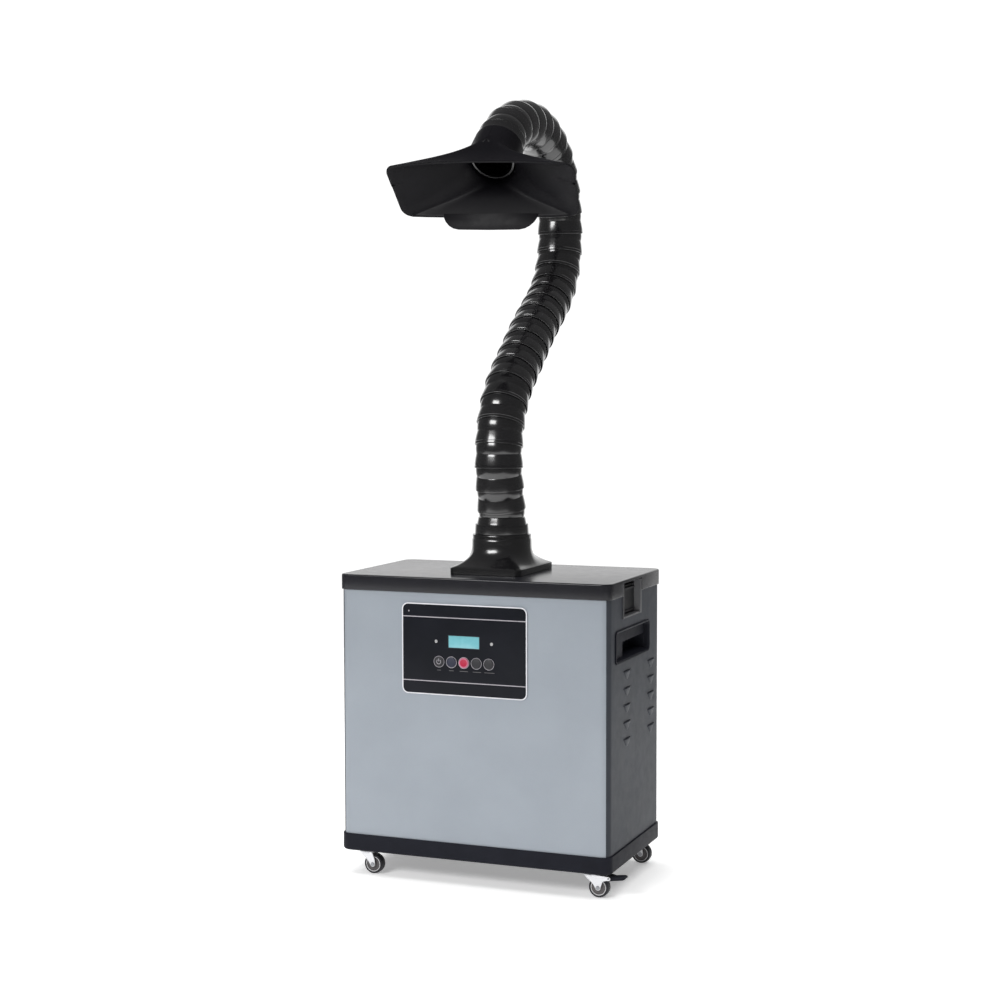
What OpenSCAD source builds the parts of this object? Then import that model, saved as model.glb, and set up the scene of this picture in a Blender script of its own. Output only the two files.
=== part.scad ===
// Wheeled solder fume extractor: filter cabinet, ball-jointed duct arm and wide hood.
// Millimetres. X is right, Y is back and Z is up. The origin is on the floor under the cabinet's centre.

/* [Cabinet] */
// Width over the cover and the base
cab_w = 430; // [380:1:480]
// Depth over the cover and the base
cab_d = 250; // [220:1:290]
// Floor to the base's lower edge
base_z = 37; // [36:0.5:44]
// Height of the base tray
base_h = 26; // [20:1:36]
// Floor to the cover's lower edge
cover_z = 434; // [400:1:480]
// Height of the cover
cover_h = 23; // [18:1:30]
// Upright corner radius of cover and base
corner_r = 15; // [10:1:24]
// Step from the cover's side in to the painted shell
shell_inset = 2.5; // [1.5:0.5:5]
// Sheet thickness of the painted shell
sheet = 1.5; // [1:0.1:2.5]

/* [Control panel] */
// Sideways place of the panel's centre
panel_x = -11; // [-60:1:60]
// Height of the panel's centre
panel_z = 351; // [300:1:380]
// Width of the panel
panel_w = 197; // [160:1:240]
// Height of the panel
panel_h = 134; // [110:1:160]
// Distance between neighbouring buttons
button_pitch = 19.8; // [18:0.1:24]
// Radius of a button's cap
button_r = 7.7; // [5:0.1:8.5]

/* [Duct arm] */
// Distance between the ball centres of neighbouring rings
ring_pitch = 32.3; // [30:0.1:36]
// Radius of a ring's open lip
lip_r = 37; // [34:0.5:42]
// Radius of the ball end
ball_r = 34.95; // [30:0.05:38]
// Gap between a ball and its socket
ball_gap = 0.4; // [0.2:0.1:0.8]
// Height of the first ball's centre
first_ball_z = 548.5; // [500:0.5:600]

/* [Hood] */
// Width of the mouth's upper edge
mouth_w = 292; // [200:1:340]
// Height of the mouth
mouth_h = 98; // [60:1:120]
// Wall of the hood
hood_t = 2.2; // [1.6:0.1:4]

/* [Casters] */
// Radius of a wheel
wheel_r = 15; // [12:0.5:20]
// Width of a wheel
wheel_w = 14; // [10:0.5:18]
// Distance from the swivel's axis back to the axle
trail = 12; // [6:0.5:14]
// Sideways place of the swivels
caster_x = 180; // [150:1:200]
// Front and back place of the swivels
caster_y = 102; // [80:1:110]

/* [View] */
// Sub-part to show, or all

/* [Hidden] */
$fn = 96;
body_w = cab_w - 2 * shell_inset;
body_d = cab_d - 2 * shell_inset;
shell_r = corner_r - shell_inset;
base_top = base_z + base_h;
cover_top = cover_z + cover_h;
cover_t = 3;
cover_under = cover_top - cover_t;
skirt_t = 2.3;
ledge_z = base_z + 15;
tray_floor_z = base_z + 6;
side_x = body_w / 2;
front_y = -body_d / 2;
back_y = body_d / 2;
duct_r = 38.4;
cuff_top = cover_top + 57;

// Lean of each arm ring from upright towards the back, in degrees, from the cabinet to the hood.
lean = [
    -12, -9, 0, 11, 23, 35, 46,
    51, 50, 50, 53, 56, 56, 48,
    35, 21, 8, -4, -14, -24, -38,
    -53, -65, -76, -88, -98, -108, -120
];
neck_lean = -132;
hood_turn = -2.2;
mouth_drop = 12;
mouth_end = 117;
neck_end = 60;

socket_r = ball_r + ball_gap;
ball_in_r = ball_r - 1.95;
bore_r = 32;
socket_mouth = 3;
ball_top = 16;

side_y = -14;
side_z = 361.5;
pocket_y = 9;
pocket_z = 353.5;
latch_y0 = -56;
latch_y1 = 14;
latch_pivot_x = 204.5;
latch_pivot_z = 408;
louvre_columns = [-38.5, 79];
louvre_top_z = 316;
louvre_step = 25;

chamber_w = 320;
chamber_d = 200;
chamber_y = 8;
chamber_z = 200;
fan_r = 105;
fan_z0 = 88.5;
fan_z1 = 198.5;
outlet_x = 66;
outlet_z = 124;
inlet_x = -96;
inlet_z = 132;
rear_z = 220;

pedal_x = 28;
pedal_z = 29.7;

button_names = ["power", "down", "set", "up", "mode"];

// ---- Shared shapes ----

module rounded_rect(w, d, r) {
    square([w - 2 * r, d], center = true);
    square([w, d - 2 * r], center = true);
    for (x = [-1, 1], y = [-1, 1])
        translate([x * (w / 2 - r), y * (d / 2 - r)])
            circle(r);
}

module slab(w, d, r, z0, z1) {
    translate([0, 0, z0])
        linear_extrude(z1 - z0)
            rounded_rect(w, d, r);
}

// A block given by its low and high corners
module block(low, high) {
    translate(low)
        cube(high - low);
}

// An upright rounded plate facing the front, from y0 back to y1
module front_plate(x, z, w, h, r, y0, y1) {
    translate([x, y1, z])
        rotate([90, 0, 0])
            linear_extrude(y1 - y0)
                rounded_rect(w, h, r);
}

// An upright rounded plate facing the right side, from x0 out to x1
module side_plate(y, z, w, h, r, x0, x1) {
    translate([x0, y, z])
        rotate([90, 0, 90])
            linear_extrude(x1 - x0)
                rounded_rect(w, h, r);
}

module rod_x(y, z, r, x0, x1) {
    translate([x0, y, z])
        rotate([0, 90, 0])
            cylinder(r = r, h = x1 - x0);
}

module rod_y(x, z, r, y0, y1) {
    translate([x, y0, z])
        rotate([-90, 0, 0])
            cylinder(r = r, h = y1 - y0);
}

module rod_z(x, y, r, z0, z1) {
    translate([x, y, z0])
        cylinder(r = r, h = z1 - z0);
}

module both_sides() {
    for (side = [0, 1])
        mirror([side, 0, 0])
            children();
}

module at_casters() {
    for (x = [-1, 1], y = [-1, 1])
        translate([x * caster_x, y * caster_y, 0])
            children();
}

module at_plate_holes() {
    for (x = [-17, 17], y = [-11, 11])
        translate([x, y, 0])
            children();
}

// Points on a circle about the arm's own axis, as [radius, height]
function arc_points(r, zc, a0, a1, steps) = [
    for (i = [0:steps])
        let (a = a0 + (a1 - a0) * i / steps)
            [r * cos(a), zc + r * sin(a)]
];

// ---- Cabinet ----

module base_tray() {
    color("#2b2b30")
        difference() {
            slab(cab_w, cab_d, corner_r, base_z, base_top);
            slab(cab_w - 8, cab_d - 8, corner_r - 4, base_z - 1, base_z + 3);
            slab(cab_w - 16, cab_d - 16, corner_r - 8, tray_floor_z, ledge_z + 0.1);
            slab(body_w + 0.4, body_d + 0.4, shell_r + 0.2, ledge_z, base_top + 1);
            at_casters()
                at_plate_holes()
                    rod_z(0, 0, 1.7, base_z, tray_floor_z + 1);
        }
}

module louvre_slot(y, z) {
    translate([side_x - 3, y, z])
        rotate([90, 0, 90])
            linear_extrude(4)
                polygon([[-14, 5], [14, 5], [6, -5], [-6, -5]]);
}

// A pressed pocket, open at its top and closed where it tapers into the sheet
module louvre_scoop(y, z) {
    intersection() {
        translate([0, y + 16, z])
            rotate([90, 0, 0])
                linear_extrude(32)
                    polygon([
                        [side_x - 1, -7], [side_x, -7], [side_x + 2.2, 5],
                        [side_x + 1, 5], [side_x - 1, -5]
                    ]);
        translate([side_x - 2, y, z])
            rotate([90, 0, 90])
                linear_extrude(5)
                    polygon([[-16, 6], [16, 6], [7, -8], [-7, -8]]);
    }
}

module body_shell() {
    color("#a5acb6") {
        difference() {
            slab(body_w, body_d, shell_r, ledge_z, cover_under);
            slab(body_w - 2 * sheet, body_d - 2 * sheet, shell_r - sheet, ledge_z - 1, cover_under + 1);
            front_plate(panel_x, panel_z, panel_w - 16, panel_h - 16, 6, front_y - 1, front_y + 4);
            front_plate(0, rear_z, 260, 272, 6, back_y - 4, back_y + 1);
            for (x = [-142, 142], z = [-130, 0, 130])
                rod_y(x, rear_z + z, 1.7, back_y - 4, back_y + 1);
            both_sides() {
                side_plate(side_y, side_z, 158, 44, 6, side_x - 4, side_x + 1);
                block([side_x - 4, -62.2, 399.8], [side_x + 1, 25.2, cover_under + 1]);
                for (y = louvre_columns, i = [0:4])
                    louvre_slot(y, louvre_top_z - i * louvre_step);
            }
        }
        both_sides()
            for (y = louvre_columns, i = [0:4])
                louvre_scoop(y, louvre_top_z - i * louvre_step);
    }
}

module top_cover() {
    color("#2f2f34") {
        difference() {
            slab(cab_w, cab_d, corner_r, cover_z, cover_top);
            slab(cab_w - 2 * skirt_t, cab_d - 2 * skirt_t, corner_r - skirt_t, cover_z - 1, cover_under);
            rod_z(0, 0, duct_r, cover_z, cover_top + 1);
            both_sides()
                block([side_x - 1, -62.6, cover_z - 1], [side_x + 4, 25.6, 452.6]);
            for (x = [-48, 48], y = [-64, 64])
                rod_z(x, y, 2.05, cover_z, cover_top + 1);
        }
        difference() {
            rod_z(0, 0, duct_r + 2.4, cover_under - 14, cover_under);
            rod_z(0, 0, duct_r, cover_under - 15, cover_under + 1);
        }
    }
}

module rear_cover() {
    color("#9aa1ab")
        difference() {
            front_plate(0, rear_z, 300, 280, 8, back_y, back_y + 2);
            front_plate(outlet_x, outlet_z, 100.4, 70.4, 3.2, back_y - 1, back_y + 3);
            front_plate(inlet_x, inlet_z, 27.4, 58.4, 2.2, back_y - 1, back_y + 3);
            for (x = [-142, 142], z = [-130, 0, 130])
                rod_y(x, rear_z + z, 2.05, back_y - 1, back_y + 3);
        }
}

// ---- Control panel ----

function button_x(i) = panel_x + (i - 2) * button_pitch;
button_z = panel_z - 18;
led_z = panel_z + 12;
lcd_z = panel_z + 12.5;

module control_panel() {
    color("#1e2026")
        difference() {
            front_plate(panel_x, panel_z, panel_w, panel_h, 9, front_y - 2, front_y);
            front_plate(panel_x, lcd_z, 50.2, 19.2, 1, front_y - 3, front_y + 1);
            for (side = [-1, 1])
                rod_y(panel_x + side * 44, led_z, 1.7, front_y - 3, front_y + 1);
            for (i = [0:4])
                rod_y(button_x(i), button_z, button_r + 0.1, front_y - 3, front_y + 1);
        }
}

module lcd_display() {
    color("#82cdcd") {
        front_plate(panel_x, lcd_z, 50, 19, 1, front_y - 1.7, front_y);
        front_plate(panel_x, lcd_z, 62, 28, 1, front_y, front_y + 10.5);
    }
}

module status_leds() {
    color("#cfd6d2")
        for (side = [-1, 1])
            rod_y(panel_x + side * 44, led_z, 1.6, front_y - 2.3, front_y + 10.5);
}

module button(i) {
    rod_y(button_x(i), button_z, button_r, front_y - 3.5, front_y + 0.2);
    rod_y(button_x(i), button_z, button_r + 1.2, front_y + 0.2, front_y + 1.2);
    rod_y(button_x(i), button_z, 2, front_y + 1.2, front_y + 5.3);
}

module button_power() { color("#26272c") button(0); }
module button_down() { color("#1d2438") button(1); }
module button_set() { color("#c82350") button(2); }
module button_up() { color("#26272c") button(3); }
module button_mode() { color("#26272c") button(4); }

module display_board() {
    color("#1f6b45") {
        front_plate(panel_x, panel_z, 172, 108, 2, front_y + 10.5, front_y + 12.1);
        for (x = [-82, 82], z = [-50, 50])
            rod_y(panel_x + x, panel_z + z, 3, front_y, front_y + 10.5);
        for (i = [0:4])
            block([button_x(i) - 3, front_y + 6.5, button_z - 3], [button_x(i) + 3, front_y + 10.5, button_z + 3]);
        block([panel_x - 40, front_y + 12.1, panel_z - 45], [panel_x + 40, front_y + 18, panel_z - 33]);
    }
}

// ---- Sides ----

module handle_cup() {
    difference() {
        union() {
            side_plate(side_y, side_z, 164, 49, 8, side_x, side_x + 2);
            side_plate(side_y, side_z, 157, 43, 5, side_x - 8, side_x);
            side_plate(pocket_y, pocket_z, 108, 26, 3, side_x - 32, side_x - 7.9);
        }
        side_plate(side_y, side_z, 153, 39, 5, side_x - 6, side_x + 3);
        side_plate(pocket_y, pocket_z, 104, 22, 2, side_x - 30, side_x - 5);
    }
}

module side_handles() {
    color("#26262b")
        both_sides()
            handle_cup();
}

module latch_base() {
    difference() {
        block([198.5, -62, 400], [side_x + 2.3, 25, 452]);
        translate([0, 0, 403])
            linear_extrude(50)
                polygon([
                    [201, latch_y0], [206, latch_y0], [216, -60],
                    [216, 20], [206, latch_y1], [201, latch_y1]
                ]);
        rod_y(latch_pivot_x, latch_pivot_z, 1.85, latch_y0 - 4, latch_y1 + 4);
    }
}

module latch_bases() {
    color("#5a5c61")
        both_sides()
            latch_base();
}

module latch_lever() {
    block([203, latch_y0 + 0.6, latch_pivot_z], [206.2, latch_y1 - 0.6, 447]);
    block([206.1, latch_y0 + 8, 440], [210, latch_y1 - 8, 443]);
    rod_y(latch_pivot_x, latch_pivot_z, 3.2, latch_y0 + 0.6, latch_y1 - 0.6);
    rod_y(latch_pivot_x, latch_pivot_z, 1.8, latch_y0 - 3.5, latch_y1 + 3.5);
}

module latch_right() { color("#18181c") latch_lever(); }
module latch_left() { color("#18181c") mirror([1, 0, 0]) latch_lever(); }

// ---- Casters ----

module caster_plates() {
    color("#c9cccf")
        at_casters() {
            difference() {
                slab(42, 30, 3, base_z + 1, base_z + 3);
                at_plate_holes()
                    rod_z(0, 0, 2.05, base_z, base_z + 4);
            }
            rod_z(0, 0, 10, 34.4, base_z + 1);
            rod_z(0, 0, 3, 30.6, 34.5);
            rod_z(0, 0, 4.6, 29.4, 30.7);
        }
}

// One side leg of a fork, drawn in X and Z, with the brake's ear where has_ear is 1
module fork_leg(has_ear) {
    polygon([[-9, 33], [10, 33], [trail + 3.6, wheel_r - 1.5], [trail - 3.6, wheel_r - 1.5]]);
    translate([trail, wheel_r])
        circle(4);
    if (has_ear == 1) {
        polygon([[2, 33], [pedal_x, pedal_z + 3], [pedal_x, pedal_z - 3], [10, 25]]);
        translate([pedal_x, pedal_z])
            circle(3);
    }
}

module fork(x, y, has_ear) {
    translate([x, y, 0]) {
        difference() {
            rod_z(0, 0, 11.5, 31, 34.2);
            rod_z(0, 0, 3.05, 30, 35);
        }
        for (y0 = [-wheel_w / 2 - 2.1, wheel_w / 2 + 0.6])
            difference() {
                translate([0, y0 + 1.5, 0])
                    rotate([90, 0, 0])
                        linear_extrude(1.5)
                            fork_leg(has_ear);
                rod_z(0, 0, 5, 28, 31);
                if (has_ear == 1)
                    rod_y(pedal_x, pedal_z, 1.55, y0 - 1, y0 + 3);
            }
        rod_y(trail, wheel_r, 2, -wheel_w / 2 - 3.2, wheel_w / 2 + 3.2);
    }
}

module fork_front_left() { color("#d3d6d8") fork(-caster_x, -caster_y, 0); }
module fork_front_right() { color("#d3d6d8") fork(caster_x, -caster_y, 1); }
module fork_back_left() { color("#d3d6d8") fork(-caster_x, caster_y, 1); }
module fork_back_right() { color("#d3d6d8") fork(caster_x, caster_y, 0); }

module wheel(x, y) {
    half = wheel_w / 2;
    translate([x + trail, y, wheel_r])
        rotate([90, 0, 0])
            rotate_extrude()
                polygon([
                    [2.05, -half], [5, -half], [6, -half + 1.5], [10.4, -half + 1.5],
                    [11, -half], [13, -half], [wheel_r, -half + 2.4], [wheel_r, half - 2.4],
                    [13, half], [11, half], [10.4, half - 1.5], [6, half - 1.5],
                    [5, half], [2.05, half]
                ]);
}

module wheel_front_left() { color("#202024") wheel(-caster_x, -caster_y); }
module wheel_front_right() { color("#202024") wheel(caster_x, -caster_y); }
module wheel_back_left() { color("#202024") wheel(-caster_x, caster_y); }
module wheel_back_right() { color("#202024") wheel(caster_x, caster_y); }

module brake(x, y) {
    half = wheel_w / 2;
    translate([x, y, 0]) {
        rod_y(pedal_x, pedal_z, 4.6, -half + 0.4, half - 0.4);
        rod_y(pedal_x, pedal_z, 1.5, -half - 2.8, half + 2.8);
        translate([0, half - 0.4, 0])
            rotate([90, 0, 0])
                linear_extrude(2 * half - 0.8)
                    polygon([
                        [pedal_x + 1, pedal_z - 4.2], [pedal_x + 22, pedal_z - 1], [pedal_x + 25, pedal_z + 2.5],
                        [pedal_x + 23, pedal_z + 4.6], [pedal_x + 8, pedal_z + 3], [pedal_x, pedal_z + 4.6]
                    ]);
    }
}

module brake_front_right() { color("#1c1c20") brake(caster_x, -caster_y); }
module brake_back_left() { color("#1c1c20") brake(-caster_x, caster_y); }

// ---- Duct arm ----

// Centre of the ball under ring k, as [y, z], counting rings from 0
function ball_centre(k) = k == 0
    ? [0, first_ball_z]
    : ball_centre(k - 1) + ring_pitch * [sin(lean[k - 1]), cos(lean[k - 1])];

socket_low = asin(socket_mouth / socket_r);
socket_high = acos(bore_r / socket_r);
ball_in_low = -acos(bore_r / ball_in_r);
ball_in_high = asin(ball_top / ball_in_r);
ball_low = -14;
ball_high = asin(ball_top / ball_r);

function socket_wall() = arc_points(socket_r, 0, socket_low, socket_high, 5);
function ball_inside(zc) = arc_points(ball_in_r, zc, ball_in_low, ball_in_high, 8);
function ball_outside(zc) = arc_points(ball_r, zc, ball_high, ball_low, 9);
function bell_wall() = [[35.4, 20], [36.4, 12], [lip_r, 6], [lip_r, socket_mouth]];

module along_arm(centre, angle) {
    translate([0, centre[0], centre[1]])
        rotate([-angle, 0, 0])
            children();
}

module arm_ring(k) {
    along_arm(ball_centre(k), lean[k])
        rotate_extrude()
            polygon(concat(socket_wall(), ball_inside(ring_pitch), ball_outside(ring_pitch), bell_wall()));
}

module arm_section(s) {
    color("#1b1b1f") {
        arm_ring(2 * s - 2);
        arm_ring(2 * s - 1);
    }
}

module arm_section_01() { arm_section(1); }
module arm_section_02() { arm_section(2); }
module arm_section_03() { arm_section(3); }
module arm_section_04() { arm_section(4); }
module arm_section_05() { arm_section(5); }
module arm_section_06() { arm_section(6); }
module arm_section_07() { arm_section(7); }
module arm_section_08() { arm_section(8); }
module arm_section_09() { arm_section(9); }
module arm_section_10() { arm_section(10); }
module arm_section_11() { arm_section(11); }
module arm_section_12() { arm_section(12); }
module arm_section_13() { arm_section(13); }
module arm_section_14() { arm_section(14); }

module arm_flange() {
    color("#17171b")
        difference() {
            union() {
                slab(114, 146, 9, cover_top, cover_top + 10);
                rotate_extrude()
                    polygon([
                        [duct_r - 1, cover_top + 1], [56, cover_top + 1], [56, cover_top + 10],
                        [51.5, cover_top + 13], [48.4, cover_top + 17.5], [46.4, cover_top + 24],
                        [45.4, cover_top + 31], [44.8, cover_top + 38], [44.8, cover_top + 51],
                        [44.3, cover_top + 51.6], [44.3, cover_top + 52.4], [44.8, cover_top + 53],
                        [44.8, cover_top + 56], [44.1, cuff_top], [duct_r - 1, cuff_top]
                    ]);
            }
            rod_z(0, 0, 38.35, cover_top - 1, cuff_top + 1);
            for (x = [-48, 48], y = [-64, 64])
                rod_z(x, y, 2.05, cover_top - 1, cover_top + 7.5);
        }
}

module arm_collar() {
    color("#17171b")
        rotate_extrude()
            polygon(concat(
                [[35.5, 482]],
                [[35.5, 528.5]],
                ball_inside(first_ball_z),
                ball_outside(first_ball_z),
                [
                    [35.6, 540], [37.6, 530], [40.4, 529.6], [41.2, cuff_top + 0.3],
                    [38.3, cuff_top + 0.3], [38.3, 482]
                ]
            ));
}

module hood_neck() {
    color("#17171b")
        along_arm(ball_centre(28), neck_lean)
            rotate_extrude()
                polygon(concat(
                    socket_wall(),
                    [[31, 24], [31, neck_end - 1], [33.4, neck_end - 1], [33.4, 24]],
                    [[36, 24]],
                    bell_wall()
                ));
}

// The mouth's outline as a thin plate, shrunk all round by inset
module mouth_plate(inset, h) {
    for (side = [-1, 1]) {
        translate([side * (mouth_w / 2 - 12), mouth_h / 2 - 12, 0])
            cylinder(r = 12 - inset, h = h, $fn = 32);
        translate([side * (mouth_w / 2 - 21), -mouth_h / 2 + 16, 0])
            cylinder(r = 16 - inset, h = h, $fn = 32);
    }
}

module waist_plate(inset, h) {
    for (x = [-1, 1], y = [-1, 1])
        translate([x * 42, y * 12, 0])
            cylinder(r = 26 - inset, h = h, $fn = 32);
}

module at_mouth() {
    translate([0, -mouth_drop, mouth_end])
        children();
}

module at_waist() {
    translate([0, -4, 84])
        children();
}

module hood_form(inset, start_r, extra) {
    hull() {
        translate([0, 0, neck_end])
            cylinder(r = start_r, h = 1, $fn = 64);
        at_waist()
            waist_plate(inset, 1);
    }
    hull() {
        at_waist()
            waist_plate(inset, 1);
        at_mouth()
            translate([0, 0, -1])
                mouth_plate(inset, 1 + extra);
    }
}

module hood() {
    color("#17171b")
        along_arm(ball_centre(28), neck_lean)
            rotate([0, 0, hood_turn]) {
                difference() {
                    rod_z(0, 0, 36, 24.4, neck_end + 0.5);
                    rod_z(0, 0, 33.45, 24, neck_end + 1);
                }
                difference() {
                    hood_form(0, 36, 0);
                    hood_form(hood_t, 33.45, 3);
                    rod_z(0, 0, 33.45, neck_end - 1, neck_end + 3);
                }
                at_mouth()
                    translate([0, -mouth_h / 2, 0])
                        rotate([-60, 0, 0])
                            linear_extrude(1.8)
                                polygon([
                                    [-75, 4], [75, 4], [75, 0], [64, -13],
                                    [50, -20], [-50, -20], [-64, -13], [-75, 0]
                                ]);
            }
}

// ---- Inside ----

module filter_chamber() {
    color("#b8bcc0") {
        difference() {
            slab(body_w - 2 * sheet - 0.2, body_d - 2 * sheet - 0.2, shell_r - sheet, chamber_z - 1.5, chamber_z);
            rod_z(0, chamber_y, 62, chamber_z - 2, chamber_z + 1);
        }
        translate([0, chamber_y, 0])
            difference() {
                slab(chamber_w + 3, chamber_d + 3, 3, chamber_z, 446);
                slab(chamber_w, chamber_d, 1.5, chamber_z - 1, 447);
            }
    }
}

module filter_seal() {
    color("#3a3a3c")
        translate([0, chamber_y, 0])
            difference() {
                slab(chamber_w + 9, chamber_d + 9, 5, 446, cover_under);
                slab(chamber_w - 8, chamber_d - 8, 3, 445, cover_under + 1);
            }
}

module filter_frame(z0, z1) {
    difference() {
        slab(chamber_w - 3, chamber_d - 3, 1.5, z0, z1);
        slab(chamber_w - 15, chamber_d - 15, 1.5, z0 - 1, z1 + 1);
    }
}

module carbon_filter() {
    color("#55585c")
        translate([0, chamber_y, 0]) {
            filter_frame(chamber_z, 300);
            slab(chamber_w - 15, chamber_d - 15, 1.5, chamber_z + 6, 294);
        }
}

// A folded sheet, drawn as one zigzag band across the frame
function zigzag(count, w, z0, z1, lift) = [
    for (i = [0:count])
        [-w / 2 + w * i / count, (i % 2 == 0 ? z0 : z1) + lift]
];
function reversed(list) = [for (i = [len(list) - 1:-1:0]) list[i]];

module hepa_filter() {
    pleats = 38;
    inner_w = chamber_w - 15;
    inner_d = chamber_d - 15;
    color("#e6e6e0")
        translate([0, chamber_y, 0]) {
            filter_frame(300, 400);
            translate([0, inner_d / 2, 0])
                rotate([90, 0, 0])
                    linear_extrude(inner_d)
                        polygon(concat(
                            zigzag(pleats, inner_w, 306, 388, 0),
                            reversed(zigzag(pleats, inner_w, 306, 388, 6))
                        ));
        }
}

module pre_filter() {
    color("#d7d9dc")
        translate([0, chamber_y, 0]) {
            filter_frame(400, 420);
            slab(chamber_w - 15, chamber_d - 15, 1.5, 404, 416);
        }
}

module fan_housing() {
    color("#4a4c50")
        difference() {
            union() {
                rod_z(0, chamber_y, fan_r, fan_z0, fan_z1);
                block([outlet_x - 37, chamber_y, fan_z0], [outlet_x + 37, back_y - 1.4, 158]);
            }
            rod_z(0, chamber_y, fan_r - 2, fan_z0 + 2, fan_z1 - 2);
            block([outlet_x - 35, chamber_y + 40, fan_z0 + 2], [outlet_x + 35, back_y + 1, 156]);
            rod_z(0, chamber_y, 60, fan_z1 - 3, fan_z1 + 1);
            rod_z(0, chamber_y, 12, fan_z0 - 1, fan_z0 + 3);
        }
}

module impeller() {
    color("#7d8086")
        translate([0, chamber_y, 0]) {
            difference() {
                union() {
                    rod_z(0, 0, 85, 104, 107);
                    rod_z(0, 0, 12, 104, 130);
                }
                rod_z(0, 0, 4.05, 103, 131);
            }
            difference() {
                rod_z(0, 0, 85, 162, 165);
                rod_z(0, 0, 58, 161, 166);
            }
            for (i = [0:9])
                rotate(i * 36)
                    translate([50, 0, 106.9])
                        rotate(38)
                            cube([36, 2, 55.2]);
        }
}

module fan_motor() {
    color("#8b8e93")
        translate([0, chamber_y, 0]) {
            rod_z(0, 0, 42, 48, fan_z0);
            rod_z(0, 0, 11.9, fan_z0 - 1, fan_z0 + 4);
            rod_z(0, 0, 4, fan_z0, 128);
        }
}

module power_board() {
    color("#1f6b45") {
        block([92, -104, 53], [202, -24, 54.6]);
        for (x = [98, 196], y = [-98, -30])
            rod_z(x, y, 3, tray_floor_z, 53.1);
        block([104, -94, 54.5], [140, -62, 80]);
        block([150, -94, 54.5], [170, -74, 68]);
        for (x = [152, 174])
            rod_z(x, -46, 8, 54.5, 78);
        block([182, -94, 54.5], [194, -64, 66]);
    }
}

module power_inlet() {
    color("#1d1d21")
        difference() {
            union() {
                front_plate(inlet_x, inlet_z, 33, 64, 3, back_y + 2, back_y + 3.5);
                front_plate(inlet_x, inlet_z, 27, 58, 2, back_y - 22, back_y + 2.1);
            }
            front_plate(inlet_x, inlet_z - 14, 22, 16, 3, back_y - 15, back_y + 4);
            front_plate(inlet_x, inlet_z + 14, 14, 22, 1, back_y - 15, back_y + 4);
            rod_x(back_y - 2, inlet_z + 14, 1.55, inlet_x - 10, inlet_x + 10);
        }
    color("#c9b26a")
        for (x = [-6, 0, 6])
            block([inlet_x + x - 1, back_y - 15.5, inlet_z - 16], [inlet_x + x + 1, back_y - 2, inlet_z - 12]);
}

module power_switch() {
    color("#c8323a") {
        translate([inlet_x - 6.7, back_y - 2, inlet_z + 14])
            rotate([90, 0, 90])
                linear_extrude(13.4)
                    polygon([[-3, -3], [-1, -9.6], [7.2, -7.6], [4.6, 0], [4.0, 8.8], [1, 9.6], [-3, 3]]);
        rod_x(back_y - 2, inlet_z + 14, 1.5, inlet_x - 9.8, inlet_x + 9.8);
    }
}

module exhaust_grille() {
    color("#232328")
        difference() {
            union() {
                front_plate(outlet_x, outlet_z, 100, 70, 3, back_y - 0.1, back_y + 2.2);
                front_plate(outlet_x, outlet_z, 108, 66, 3, back_y - 1.2, back_y - 0.1);
            }
            for (i = [-3:3])
                front_plate(outlet_x, outlet_z + i * 8.6, 86, 5, 2, back_y - 2, back_y + 3);
        }
}

// ---- Fasteners ----

module cabinet_screws() {
    color("#8d9095") {
        at_casters()
            at_plate_holes() {
                rod_z(0, 0, 1.7, base_z + 1, tray_floor_z + 2);
                rod_z(0, 0, 3.2, base_z - 0.8, base_z + 1);
            }
        for (x = [-142, 142], z = [-130, 0, 130]) {
            rod_y(x, rear_z + z, 1.7, back_y - 6, back_y + 2);
            rod_y(x, rear_z + z, 3.2, back_y + 2, back_y + 3.8);
        }
    }
}

module flange_screws() {
    color("#1d1d21")
        for (x = [-48, 48], y = [-64, 64]) {
            rod_z(x, y, 2, cover_under - 0.5, cover_top + 7);
            rod_z(x, y, 3.8, cover_under - 2.6, cover_under);
        }
}

base_tray();
body_shell();
top_cover();
rear_cover();
control_panel();
lcd_display();
status_leds();
display_board();
button_power();
button_down();
button_set();
button_up();
button_mode();
side_handles();
latch_bases();
latch_left();
latch_right();
caster_plates();
fork_front_left();
fork_front_right();
fork_back_left();
fork_back_right();
wheel_front_left();
wheel_front_right();
wheel_back_left();
wheel_back_right();
brake_front_right();
brake_back_left();
arm_flange();
arm_collar();
arm_section_01();
arm_section_02();
arm_section_03();
arm_section_04();
arm_section_05();
arm_section_06();
arm_section_07();
arm_section_08();
arm_section_09();
arm_section_10();
arm_section_11();
arm_section_12();
arm_section_13();
arm_section_14();
hood_neck();
hood();
filter_chamber();
filter_seal();
pre_filter();
hepa_filter();
carbon_filter();
fan_housing();
impeller();
fan_motor();
power_board();
power_inlet();
power_switch();
exhaust_grille();
cabinet_screws();
flange_screws();
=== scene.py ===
"""Looks of the wheeled solder fume extractor. Sizes are in millimetres until they reach a mesh."""
import math

import bmesh
import bpy
from mathutils import Matrix, Vector


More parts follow.
